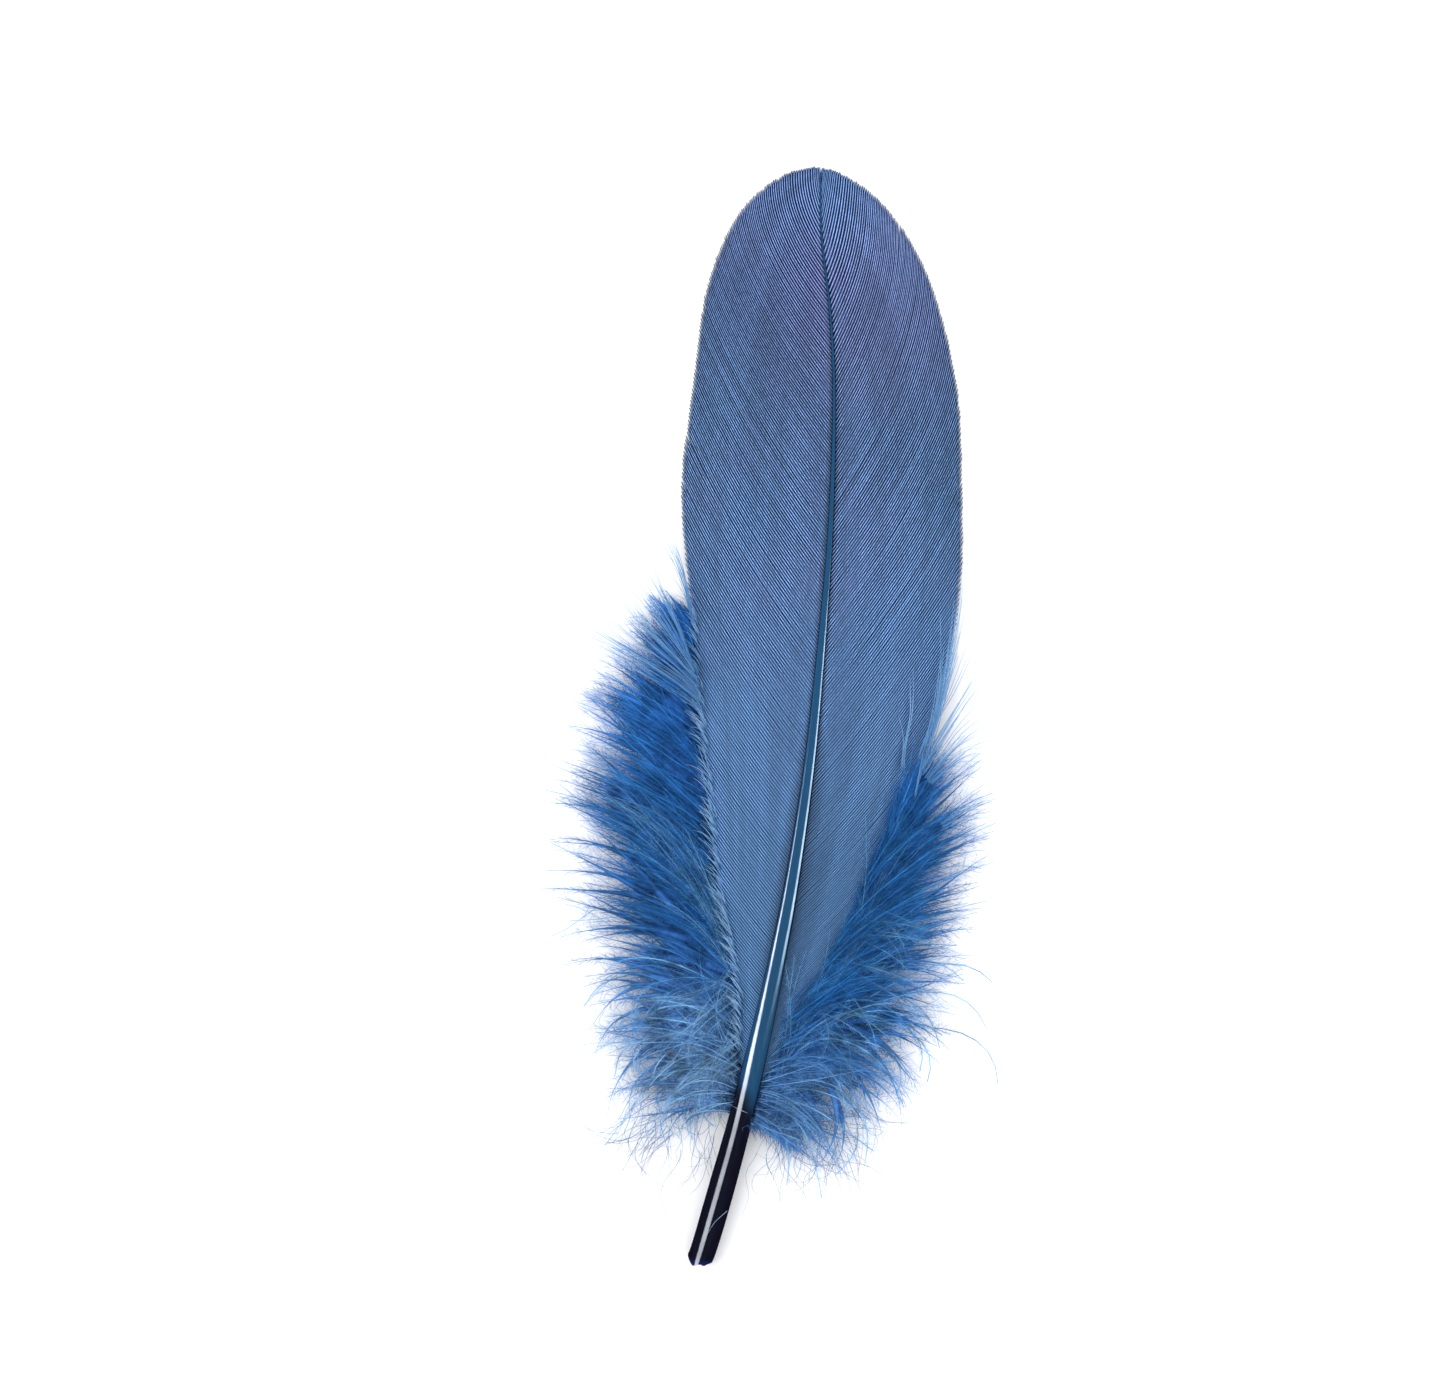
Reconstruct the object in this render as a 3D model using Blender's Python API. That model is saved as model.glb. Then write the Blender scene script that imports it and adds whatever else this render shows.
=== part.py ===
"""A dyed goose feather that lies on its underside, the outer face up.

One curved shaft, hollow at its cut end, carries a smooth vane on each side.
Low on the shaft the outer parts of the barbs turn to loose down, which is a
plain low mound here, with a flat underside that the feather rests on.
Sketch points are in millimetres: x to the right, y from the quill's cut end
towards the tip, z up from the surface that the feather lies on.
"""
import math

import bmesh
import bpy
import numpy as np

MM = 0.001

# Driving dimensions, in millimetres
FEATHER_LENGTH = 180.0      # straight from the cut end of the quill to the tip
QUILL_DIAMETER = 4.1        # outside, at the cut end
QUILL_BORE = 3.2            # the air space in the quill
BORE_DEPTH = 21.0
GAP = 0.3                   # kept between neighbouring pieces
RIM_GAP = 0.6               # between the edge of a vane and the down outside it
VANE_ROOT_THICKNESS = 0.42
VANE_EDGE_THICKNESS = 0.30
SHAFT_SIDES = 16
SHAFT_RINGS = 44
VANE_ROWS = 46              # rulings from the shaft to the edge of a vane
VANE_STEPS = 8              # faces along one ruling
DOWN_ROWS = 22
DOWN_STEPS = 6
BARB_SWEEP = 0.6            # under 1, so that the rulings lean towards the tip as barbs do
CURVE_FINENESS = 24         # places read between two sketch points
VANE_LIFT = 0.125           # how far the vane's root sits above the shaft's middle, in shaft diameters
SHARP_ANGLE = 40.0          # edges sharper than this many degrees stay crisp

# Where the vanes begin and end on the shaft, as y
LEFT_FOOT = 33.0
RIGHT_FOOT = 31.0
VANE_TOP = 178.0

# The shaft's middle line with its diameter: x, y, z, diameter
SHAFT_SKETCH = [
    (-0.3, 0.0, QUILL_DIAMETER / 2, QUILL_DIAMETER),
    (1.6, 11.0, 2.6, 4.25),
    (3.7, 24.0, 3.7, 3.9),
    (5.4, 37.5, 5.0, 3.5),
    (6.9, 51.0, 6.0, 2.8),
    (8.0, 65.0, 6.7, 2.3),
    (8.7, 84.0, 6.9, 1.8),
    (8.5, 104.0, 6.4, 1.3),
    (7.8, 123.0, 5.3, 0.85),
    (6.2, 143.0, 3.6, 0.55),
    (4.0, 157.0, 2.3, 0.42),
    (1.4, 168.5, 1.2, 0.36),
    (0.2, VANE_TOP, 0.6, 0.3),
]

# The outer edges of the vanes from the foot to the tip: x, y, height
LEFT_EDGE = [
    (2.6, LEFT_FOOT, 3.6),
    (0.9, 46.0, 4.0),
    (-3.6, 60.0, 4.0),
    (-8.7, 84.0, 3.6),
    (-13.4, 107.0, 1.9),
    (-16.9, 126.0, 0.45),
    (-16.7, 145.0, 0.35),
    (-16.3, 158.0, 0.35),
    (-13.3, 169.2, 0.35),
    (-8.8, 175.6, 0.35),
    (-3.6, 179.3, 0.35),
    (-0.6, FEATHER_LENGTH, 0.35),
]
RIGHT_EDGE = [
    (7.3, RIGHT_FOOT, 3.6),
    (10.9, 42.0, 4.0),
    (15.6, 52.5, 4.0),
    (21.0, 67.0, 4.0),
    (26.4, 83.5, 3.4),
    (29.3, 100.0, 2.0),
    (30.0, 116.0, 0.7),
    (28.6, 130.0, 0.4),
    (26.4, 145.0, 0.35),
    (22.6, 157.0, 0.35),
    (17.4, 167.4, 0.35),
    (10.4, 175.4, 0.35),
    (4.6, 178.8, 0.35),
    (0.6, FEATHER_LENGTH, 0.35),
]

# Where the down begins beside the shaft and where it ends on the edge of the vane, as y
LEFT_DOWN_SPAN = (26.5, 110.0)
RIGHT_DOWN_SPAN = (24.5, 98.0)

# The outlines of the down, from the quill out and up to the edge of the vane: x, y, height
LEFT_DOWN = [
    (1.0, LEFT_DOWN_SPAN[0], 2.4),
    (-5.0, 19.0, 1.2),
    (-13.0, 17.6, 0.9),
    (-21.0, 24.5, 0.8),
    (-28.5, 39.0, 0.8),
    (-33.0, 57.0, 0.8),
    (-33.6, 75.0, 0.8),
    (-31.0, 89.0, 0.8),
    (-25.4, 101.0, 0.8),
    (-16.8, 113.0, 0.8),
]
RIGHT_DOWN = [
    (6.6, RIGHT_DOWN_SPAN[0], 2.4),
    (10.5, 18.0, 1.2),
    (16.5, 14.5, 0.9),
    (25.0, 16.0, 0.8),
    (32.5, 24.5, 0.8),
    (38.0, 42.0, 0.8),
    (40.4, 62.0, 0.8),
    (39.8, 78.0, 0.8),
    (36.4, 90.5, 0.8),
    (30.9, 101.5, 0.8),
]
DOWN_SWELL = 3.2                # how far the mound stands above a straight ruling
STEP_BELOW_FOOT = 2.0           # where the down leaves the shaft's side, below the foot of the vane

QUILL_COLOUR = (0.005, 0.006, 0.02, 1.0)
VANE_COLOUR = (0.09, 0.17, 0.36, 1.0)
DOWN_COLOUR = (0.03, 0.11, 0.30, 1.0)


def clear_scene():
    for thing in list(bpy.data.objects):
        bpy.data.objects.remove(thing, do_unlink=True)


def finish_of(name, colour, roughness):
    """A plain Principled material."""
    material = bpy.data.materials.new(name)
    material.use_nodes = True
    shader = material.node_tree.nodes["Principled BSDF"]
    shader.inputs["Base Color"].default_value = colour
    shader.inputs["Roughness"].default_value = roughness
    shader.inputs["Metallic"].default_value = 0.0
    return material


def fine_curve(sketch):
    """Many places on a smooth curve through every sketch point."""
    points = np.array(sketch, float)
    first = 2 * points[0] - points[1]
    last = 2 * points[-1] - points[-2]
    held = np.vstack([first, points, last])
    places = []
    for a, b, c, d in zip(held, held[1:], held[2:], held[3:]):
        for u in np.linspace(0, 1, CURVE_FINENESS, endpoint=False):
            straight = 2 * b + (c - a) * u
            bend = (2 * a - 5 * b + 4 * c - d) * u**2
            twist = (3 * b - a - 3 * c + d) * u**3
            places.append((straight + bend + twist) / 2)
    places.append(points[-1])
    return np.array(places)


def read_along(places, shares):
    """Places at these shares, 0 to 1, of a curve's length."""
    steps = np.linalg.norm(np.diff(places[:, :3], axis=0), axis=1)
    run = np.concatenate([[0.0], np.cumsum(steps)]) / steps.sum()
    return np.stack([np.interp(shares, run, column) for column in places.T], axis=1)


def between(places, low, high):
    """The stretch of a curve whose y lies from low to high, its two ends read exactly."""
    at = np.concatenate([[low], places[(places[:, 1] > low) & (places[:, 1] < high), 1], [high]])
    return np.stack([np.interp(at, places[:, 1], column) for column in places.T], axis=1)


def flat_normals(places):
    """Unit vectors at right angles to a curve, to its right as seen from above."""
    along = np.gradient(places[:, :2], axis=0)
    along /= np.linalg.norm(along, axis=1, keepdims=True)
    return np.stack([along[:, 1], -along[:, 0]], axis=1)


def add_piece(name, shape, material, holder):
    """Turns a bmesh in millimetres into a named object of the feather."""
    bmesh.ops.recalc_face_normals(shape, faces=shape.faces)
    bmesh.ops.triangulate(shape, faces=shape.faces)
    bmesh.ops.scale(shape, vec=(MM, MM, MM), verts=shape.verts)
    mesh = bpy.data.meshes.new(name)
    shape.to_mesh(mesh)
    shape.free()
    mesh.materials.append(material)
    mesh.shade_smooth()
    mesh.set_sharp_from_angle(angle=math.radians(SHARP_ANGLE))
    piece = bpy.data.objects.new(name, mesh)
    bpy.context.collection.objects.link(piece)
    piece.parent = holder
    return piece


def ring(shape, centre, ahead, radius):
    """A circle of points round the shaft's line."""
    side = np.cross(ahead, (0.0, 0.0, 1.0))
    side /= np.linalg.norm(side)
    up = np.cross(side, ahead)
    angles = np.arange(SHAFT_SIDES) * 2 * math.pi / SHAFT_SIDES
    return [shape.verts.new(centre + radius * (side * math.cos(a) + up * math.sin(a))) for a in angles]


def bridge(shape, one, other):
    """Faces between two closed rings with as many points each."""
    for i in range(len(one)):
        j = (i + 1) % len(one)
        shape.faces.new((one[i], one[j], other[j], other[i]))


def make_shaft(line, material, holder):
    """Quill and rachis in one: a bent tapering rod, bored from the cut end."""
    shape = bmesh.new()
    ahead = np.gradient(line[:, :3], axis=0)
    ahead /= np.linalg.norm(ahead, axis=1, keepdims=True)
    outside = [ring(shape, p[:3], a, p[3] / 2) for p, a in zip(line, ahead)]
    for one, other in zip(outside, outside[1:]):
        bridge(shape, one, other)
    shape.faces.new(outside[-1])
    bored = line[:, 1] < BORE_DEPTH
    inside = [ring(shape, p[:3], a, QUILL_BORE / 2) for p, a in zip(line[bored], ahead[bored])]
    for one, other in zip(inside, inside[1:]):
        bridge(shape, one, other)
    bridge(shape, outside[0], inside[0])
    shape.faces.new(inside[-1])
    return add_piece("shaft", shape, material, holder)


def close_sheet(shape, top, bottom):
    """Two grids of points, one over the other, joined to one closed body."""
    rows = [[shape.verts.new(p) for p in row] for row in top]
    under = [[shape.verts.new(p) for p in row] for row in bottom]
    last_row = len(rows) - 1
    last_step = len(rows[0]) - 1
    for grid in (rows, under):
        for i in range(last_row):
            for j in range(last_step):
                shape.faces.new((grid[i][j], grid[i + 1][j], grid[i + 1][j + 1], grid[i][j + 1]))
    for i in range(last_row):
        for j in (0, last_step):
            shape.faces.new((rows[i][j], rows[i + 1][j], under[i + 1][j], under[i][j]))
    for j in range(last_step):
        for i in (0, last_row):
            shape.faces.new((rows[i][j], rows[i][j + 1], under[i][j + 1], under[i][j]))


def make_vane(name, shaft, edge, foot, side, material, holder):
    """One thin arched sheet from the shaft's side to the vane's outer edge."""
    shares = np.linspace(0, 1, VANE_ROWS)
    stem = read_along(between(shaft, foot, VANE_TOP), shares ** (1 / BARB_SWEEP))
    root = stem[:, :3].copy()
    root[:, :2] += side * flat_normals(stem) * (stem[:, 3:4] / 2 + GAP)
    root[:, 2] += stem[:, 3] * VANE_LIFT
    rim = read_along(fine_curve(edge), shares)
    out = np.linspace(0, 1, VANE_STEPS + 1)[None, :, None]
    top = root[:, None] * (1 - out) + rim[:, None] * out
    drop = (root[:, None, 2] - rim[:, None, 2]) * (out[:, :, 0] - out[:, :, 0] ** 2)
    top[:, :, 2] += drop
    thickness = VANE_ROOT_THICKNESS + (VANE_EDGE_THICKNESS - VANE_ROOT_THICKNESS) * out[:, :, 0]
    bottom = top.copy()
    bottom[:, :, 2] -= thickness
    shape = bmesh.new()
    close_sheet(shape, top, bottom)
    return add_piece(name, shape, material, holder)


def make_down(name, shaft, edge, foot, span, outline, side, material, holder):
    """A low mound from the quill and the vane's edge out to where the down's tips reach."""
    shares = np.linspace(0, 1, DOWN_ROWS)
    low, high = span
    stem = between(shaft, low, foot - STEP_BELOW_FOOT)
    beside = stem[:, :3].copy()
    beside[:, :2] += side * flat_normals(stem) * (stem[:, 3:4] / 2 + GAP)
    rim = between(fine_curve(edge), foot, high)
    rim[:, :2] += side * flat_normals(rim) * RIM_GAP
    inner = read_along(np.vstack([beside, rim]), shares)
    outer = read_along(fine_curve(outline), shares)
    out = np.linspace(0, 1, DOWN_STEPS + 1)[None, :, None]
    top = inner[:, None] * (1 - out) + outer[:, None] * out
    ends_taper = np.sin(math.pi * shares)[:, None]
    top[:, :, 2] += DOWN_SWELL * ends_taper * np.sin(math.pi * out[:, :, 0])
    bottom = top.copy()
    bottom[:, :, 2] = 0.0
    shape = bmesh.new()
    close_sheet(shape, top, bottom)
    return add_piece(name, shape, material, holder)


def stand_on_origin(holder, pieces):
    """Moves the feather so that the origin is under the middle of its box."""
    corners = np.array([vertex.co for piece in pieces for vertex in piece.data.vertices])
    low = corners.min(axis=0)
    middle = (low + corners.max(axis=0)) / 2
    holder.location = (-middle[0], -middle[1], -low[2])


def main():
    clear_scene()
    holder = bpy.data.objects.new("feather", None)
    bpy.context.collection.objects.link(holder)
    quill_finish = finish_of("dyed quill", QUILL_COLOUR, 0.2)
    vane_finish = finish_of("dyed vane", VANE_COLOUR, 0.6)
    down_finish = finish_of("dyed down", DOWN_COLOUR, 0.85)
    shaft = fine_curve(SHAFT_SKETCH)
    line = read_along(shaft, np.linspace(0, 1, SHAFT_RINGS))
    pieces = [
        make_shaft(line, quill_finish, holder),
        make_vane("vane_left", shaft, LEFT_EDGE, LEFT_FOOT, -1, vane_finish, holder),
        make_vane("vane_right", shaft, RIGHT_EDGE, RIGHT_FOOT, 1, vane_finish, holder),
        make_down("down_left", shaft, LEFT_EDGE, LEFT_FOOT, LEFT_DOWN_SPAN, LEFT_DOWN,
                  -1, down_finish, holder),
        make_down("down_right", shaft, RIGHT_EDGE, RIGHT_FOOT, RIGHT_DOWN_SPAN, RIGHT_DOWN,
                  1, down_finish, holder),
    ]
    stand_on_origin(holder, pieces)


main()
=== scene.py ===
# %% [markdown]
# # A dyed goose feather
# A feather is a shaft with some five hundred thin branches, the barbs. Over most of its
# length the barbs hook into each other and make a smooth vane. Near the quill their outer
# parts have no hooks and stay loose: that is the down. This lesson builds it in that order,
# from the measured model of its solids: the shaft, the barbs of the two vanes, the down
# and the few strands that have come loose.

# %% Load the measured model
import math

import bpy
import mathutils
import numpy as np
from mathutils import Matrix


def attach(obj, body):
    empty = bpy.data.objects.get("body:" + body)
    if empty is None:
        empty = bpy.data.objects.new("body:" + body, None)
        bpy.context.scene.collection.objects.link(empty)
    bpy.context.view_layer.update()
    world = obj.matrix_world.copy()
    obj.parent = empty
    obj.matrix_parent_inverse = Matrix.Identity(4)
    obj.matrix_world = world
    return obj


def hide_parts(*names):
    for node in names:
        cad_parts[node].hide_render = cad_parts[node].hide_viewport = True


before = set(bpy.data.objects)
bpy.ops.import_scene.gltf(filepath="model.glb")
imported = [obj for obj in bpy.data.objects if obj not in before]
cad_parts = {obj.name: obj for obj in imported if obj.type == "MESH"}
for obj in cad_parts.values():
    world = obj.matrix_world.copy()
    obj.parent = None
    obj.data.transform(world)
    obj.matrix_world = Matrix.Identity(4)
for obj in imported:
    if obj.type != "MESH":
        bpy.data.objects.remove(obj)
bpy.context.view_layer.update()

MM = 0.001
LEFT, RIGHT = -1.0, 1.0
BOTH_SIDES = ((LEFT, "left"), (RIGHT, "right"))
# Where in its turn a random wave may start
ANYWHERE = 0, 6.3
rng = np.random.default_rng(7)
print("nodes:", sorted(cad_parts))

# %% [markdown]
# ## Reading the shapes off the solids
# The solids already say how wide and how high everything is, so nothing is measured twice.
# Cutting a solid with planes across the feather, one every quarter of a millimetre, gives
# its left and right limits. All lengths below are in millimetres, and y runs from the
# quill to the tip.

# %% Slice the solids
LENGTH = 180.0
SLICE = 0.25
FACET, EDGE_FACET = 3.0, 1.0
# The quill is cut square to its slant, so the lowest planes meet only a part of it
END_SLANT, STRAIGHT = 1.25, 4.0


def slices(node):
    """For planes across a solid: their y, then x and z of the leftmost and the rightmost point."""
    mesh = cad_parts[node].data
    corners = np.empty(len(mesh.vertices) * 3)
    mesh.vertices.foreach_get("co", corners)
    corners = corners.reshape(-1, 3) / MM
    pairs = np.empty(len(mesh.edges) * 2, int)
    mesh.edges.foreach_get("vertices", pairs)
    start, end = corners[pairs.reshape(-1, 2)].transpose(1, 0, 2)
    rows = []
    for y in np.arange(corners[:, 1].min() + SLICE, corners[:, 1].max(), SLICE):
        cut = (start[:, 1] - y) * (end[:, 1] - y) < 0
        share = (y - start[cut, 1]) / (end[cut, 1] - start[cut, 1])
        points = start[cut] + share[:, None] * (end[cut] - start[cut])
        first, last = points[points[:, 0].argmin()], points[points[:, 0].argmax()]
        rows.append([y, first[0], first[2], last[0], last[2]])
    return np.array(rows).T


def evened(values, reach):
    """A running mean, which takes the facets of the solids out."""
    width = int(reach / SLICE)
    padded = np.pad(values, width, mode="reflect", reflect_type="odd")
    return np.convolve(padded, np.ones(2 * width + 1) / (2 * width + 1), mode="valid")


def carried_on(ys, values, start):
    """Replaces a row below start by the straight line that it follows just above."""
    first, second = np.interp([start, start + STRAIGHT], ys, values)
    return np.where(ys < start, first + (second - first) * (ys - start) / STRAIGHT, values)


def reader(ys, values):
    """A function that reads one of these rows at any y."""
    return lambda y: np.interp(y, ys, values)


def say_reach(name, ys, outer_x):
    print(name, "from y", round(ys[0], 1), "to", round(ys[-1], 1), "widest", round(np.abs(outer_x).max(), 1))


ys, *limits = slices("shaft")
x_low, z_low, x_high, z_high = (carried_on(ys, row, ys[0] + END_SLANT) for row in limits)
shaft_x = reader(ys, evened((x_low + x_high) / 2, FACET))
shaft_z = reader(ys, evened((z_low + z_high) / 2, FACET))
shaft_r = reader(ys, evened((x_high - x_low) / 2, FACET))
QUILL_END = ys[0] - SLICE
TIP = QUILL_END + LENGTH

edge_x, edge_z, down_outer, down_inner, down_foot = {}, {}, {}, {}, {}
for side, word in BOTH_SIDES:
    ys, x_low, z_low, x_high, z_high = slices("vane_" + word)
    outer_x, outer_z = (x_low, z_low) if side == LEFT else (x_high, z_high)
    edge_x[side] = reader(ys, evened(outer_x, EDGE_FACET))
    edge_z[side] = reader(ys, evened(outer_z, EDGE_FACET))
    say_reach(word + " vane", ys, outer_x)
    ys, x_low, z_low, x_high, z_high = slices("down_" + word)
    outer_x, inner_x = (x_low, x_high) if side == LEFT else (x_high, x_low)
    down_outer[side], down_inner[side] = reader(ys, outer_x), reader(ys, inner_x)
    down_foot[side] = ys[0]
    say_reach(word + " down", ys, outer_x)


def vane_width(side, y):
    return np.maximum(side * (edge_x[side](y) - shaft_x(y)), 0.02)


# %% [markdown]
# ## The view
# The camera looks straight down, so a place in the picture is a place on the table. Its
# scale and its turn are settled first, because single loose strands are placed by where
# they are seen.

# %% Places in the picture
MM_PER_PIXEL = 0.1633
FRAME_WIDTH, FRAME_HEIGHT = 1445, 1387
ROLL = math.radians(6.2)
CUT_END_PIXEL = (699.2, 1265.2)
SENSOR, LENS = 36.0, 100.0
DISTANCE = LENS / SENSOR * FRAME_WIDTH * MM_PER_PIXEL
TURN = np.array([[math.cos(ROLL), math.sin(ROLL)], [-math.sin(ROLL), math.cos(ROLL)]])


def on_table(pixels):
    """Millimetres on the table from the cut end of the quill to places in the picture."""
    from_end = np.asarray(pixels, float) - CUT_END_PIXEL
    return (from_end * (1, -1)) @ TURN * MM_PER_PIXEL


cut_end = np.array([shaft_x(QUILL_END), QUILL_END])
aim = cut_end + on_table((FRAME_WIDTH / 2, FRAME_HEIGHT / 2))


def seen_at(pixels, height=0.0):
    """x and y of what is seen at places in the picture and lies at a height."""
    nearer = 1 - np.asarray(height)[..., None] / DISTANCE
    return aim + (cut_end + on_table(pixels) - aim) * nearer


print("camera is", round(DISTANCE), "mm above the table, aimed at", aim.round(1))

# %% [markdown]
# ## One builder for every strand
# Barbs, the threads of the down and stray hairs are all the same thing: a cross-section
# carried along a curved line. The barbules of the down are too many for that, so they are
# bent spindles, or straight slivers where they lie deep. Blender's curves could do it, but
# a million triangles are quicker to lay out as arrays. The builder takes all lines at once
# and joins them in one mesh, each strand closed at both ends. Every strand also gets a
# strip of its own in the map, so that a material can tell strands apart and knows how far
# along it is.

# %% Build strands as one mesh
UP = np.array([0.0, 0.0, 1.0])
spokes_at = np.radians([90, 210, 330])
THREE_SIDED = np.stack([np.cos(spokes_at), np.sin(spokes_at)], axis=1)
# End faces have no width along the map, so their corners step to and fro by this much
ZIGZAG = 0.004


def unit(vectors):
    return vectors / np.maximum(np.linalg.norm(vectors, axis=-1, keepdims=True), 1e-12)


def crossways(ahead, ups):
    """Two directions square to a line: across it, and over it."""
    across = unit(np.cross(ahead, ups))
    return across, np.cross(across, ahead)


def along_line(lines):
    """Lengths from the start of each line to its points."""
    steps = np.linalg.norm(np.diff(lines, axis=-2), axis=-1)
    return np.concatenate([np.zeros(steps.shape[:-1] + (1,)), np.cumsum(steps, axis=-1)], axis=-1)


def resampled(path, count):
    """The same line with evenly spaced points."""
    run = along_line(path)
    at = np.linspace(0, run[-1], count)
    return np.stack([np.interp(at, run, column) for column in path.T], axis=1)


class Strands:
    """Collects the faces of many strands, then turns them into one mesh."""

    def __init__(self):
        self.points, self.corners, self.sizes, self.places = [], [], [], []
        self.count = 0

    def add_points(self, points):
        """Keeps points of shape (..., 3) and returns their numbers."""
        numbers = self.count + np.arange(points.size // 3).reshape(points.shape[:-1])
        self.points.append(points.reshape(-1, 3))
        self.count += numbers.size
        return numbers

    def add_faces(self, faces, u, v):
        """faces: point numbers, one face per row of the last axis. u and v: their places in the map."""
        places = np.stack(np.broadcast_arrays(u, v, faces)[:2], axis=-1)
        self.corners.append(faces.reshape(-1))
        self.sizes.append(np.full(faces.size // faces.shape[-1], faces.shape[-1]))
        self.places.append(places.reshape(-1, 2))

    def add_tubes(self, rings, u, first_v, span_v, inward=False, ends=True):
        """rings: (tube, step, corner, 3), corners against the clock as seen from the start."""
        index = self.add_points(rings)
        around = rings.shape[2]
        here, after = index[:, :-1], index[:, 1:]
        quads = np.stack([here, after, np.roll(after, -1, 2), np.roll(here, -1, 2)], axis=-1)
        low, high = u[:-1, None], u[1:, None]
        side_u = np.stack(np.broadcast_arrays(low, high, high, low), axis=-1)[None]
        turn = np.arange(around) / around
        side_v = np.stack([turn, turn, turn + 1 / around, turn + 1 / around], axis=-1)
        side_v = first_v[:, None, None, None] + span_v * side_v
        if inward:
            quads, side_u, side_v = quads[..., ::-1], side_u[..., ::-1], side_v[..., ::-1]
        self.add_faces(quads, side_u, side_v)
        if ends:
            zigzag = ZIGZAG * (np.arange(around) % 2)
            end_v = first_v[:, None] + span_v * turn
            self.add_faces(index[:, 0], u[0] + zigzag, end_v)
            self.add_faces(index[:, -1, ::-1], u[-1] - zigzag, end_v[:, ::-1])
        return index

    def add_strands(self, lines, ups, wide, high, outline, strip=1.0):
        """lines and ups: (strand, step, 3). wide and high: (strand, step). outline: (corner, 2).
        strip: how much of its own strip of the map each strand takes."""
        across, over = crossways(unit(np.gradient(lines, axis=1)), ups)
        sideways = wide[:, :, None, None] * outline[None, None, :, 0:1] * across[:, :, None]
        upwards = high[:, :, None, None] * outline[None, None, :, 1:2] * over[:, :, None]
        rings = lines[:, :, None] + sideways + upwards
        count = len(lines)
        self.add_tubes(rings, np.linspace(0, 1, lines.shape[1]), np.arange(count) / count, strip / count)

    def add_needles(self, base, bend, tip, thick, u, first_v, span_v, reach_u):
        """Spindles of six faces, thickest where they bend: base, bend and tip are (needle, 3)."""
        across, over = crossways(unit(tip - base), UP)
        spokes = across[:, None] * THREE_SIDED[:, 0:1] + over[:, None] * THREE_SIDED[:, 1:2]
        ring = bend[:, None] + spokes * thick[:, None, None]
        index = self.add_points(np.concatenate([base[:, None], ring, tip[:, None]], axis=1))
        from_base, to_tip = [[0, 1, 2], [0, 2, 3], [0, 3, 1]], [[2, 1, 4], [3, 2, 4], [1, 3, 4]]
        faces = np.array(from_base + to_tip)
        needle_u = u[:, None] + reach_u * np.array([0, -1, 0, 1, 0])
        needle_v = first_v[:, None] + span_v * np.array([0, 0.5, 0.5, 0.5, 1.0])
        self.add_faces(index[:, faces], needle_u[:, faces], needle_v[:, faces])

    def add_slivers(self, base, tip, thick, u, first_v, span_v, reach_u):
        """Straight needles of four faces, flat and widest halfway: base and tip are (needle, 3)."""
        across = unit(np.cross(tip - base, UP)) * thick[:, None]
        middle = (base + tip) / 2 + UP * thick[:, None]
        index = self.add_points(np.stack([base, middle - across, middle + across, tip], axis=1))
        faces = np.array([[0, 2, 1], [1, 2, 3], [0, 1, 3], [0, 3, 2]])
        needle_u = u[:, None] + reach_u * np.array([0, -1, 1, 0])
        needle_v = first_v[:, None] + span_v * np.array([0, 0.5, 0.5, 1.0])
        self.add_faces(index[:, faces], needle_u[:, faces], needle_v[:, faces])

    def mesh(self, name):
        corners, sizes = np.concatenate(self.corners), np.concatenate(self.sizes)
        mesh = bpy.data.meshes.new(name)
        mesh.vertices.add(self.count)
        mesh.vertices.foreach_set("co", (np.concatenate(self.points) * MM).ravel())
        mesh.loops.add(len(corners))
        mesh.loops.foreach_set("vertex_index", corners)
        mesh.polygons.add(len(sizes))
        mesh.polygons.foreach_set("loop_start", np.concatenate([[0], np.cumsum(sizes)[:-1]]))
        layer = mesh.uv_layers.new(name="OFBake", do_init=False)
        layer.uv.foreach_set("vector", np.concatenate(self.places).astype(np.float32).ravel())
        mesh.update(calc_edges=True)
        mesh.shade_smooth()
        return mesh


print("a strand has", len(THREE_SIDED), "sides")

# %% [markdown]
# ### Pieces
# Each mesh becomes a piece of the scene. It rides on the feather's one body, takes its
# material, and hides the solids that it stands for.

# %% Put pieces in the scene
all_triangles = 0


def add_piece(name, mesh, material, slot, *nodes):
    """Puts a mesh in the scene as a piece that stands for the named solids."""
    global all_triangles
    mesh.materials.append(material)
    piece = bpy.data.objects.new(name, mesh)
    bpy.context.scene.collection.objects.link(piece)
    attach(piece, "root")
    if nodes:
        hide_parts(*nodes)
    triangles = len(mesh.loops) - 2 * len(mesh.polygons)
    all_triangles += triangles
    print(name, "has", triangles, "triangles")


# %% [markdown]
# ## Node helpers
# Shader nodes written out one by one fill pages, so small helpers add a node, set its
# inputs and link it in one line. Most finishes here need the same few things: products
# and sums, noise, a random value for each strand, and the strand's own map.

# %% Shader helpers
def add(tree, kind, settings=None, **inputs):
    """A new node. Inputs are given by name, with _ for a space; a socket is linked, a value is set."""
    made = tree.nodes.new("ShaderNode" + kind)
    for name, value in (settings or {}).items():
        setattr(made, name, value)
    for name, value in inputs.items():
        plug(tree, made.inputs[name.replace("_", " ")], value)
    return made


def plug(tree, socket, value):
    if isinstance(value, bpy.types.NodeSocket):
        tree.links.new(value, socket)
    else:
        socket.default_value = value


def calc(tree, operation, *values):
    """A Math node on one to three values or sockets."""
    made = tree.nodes.new("ShaderNodeMath")
    made.operation = operation
    for socket, value in zip(made.inputs, values):
        plug(tree, socket, value)
    return made.outputs[0]


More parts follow.
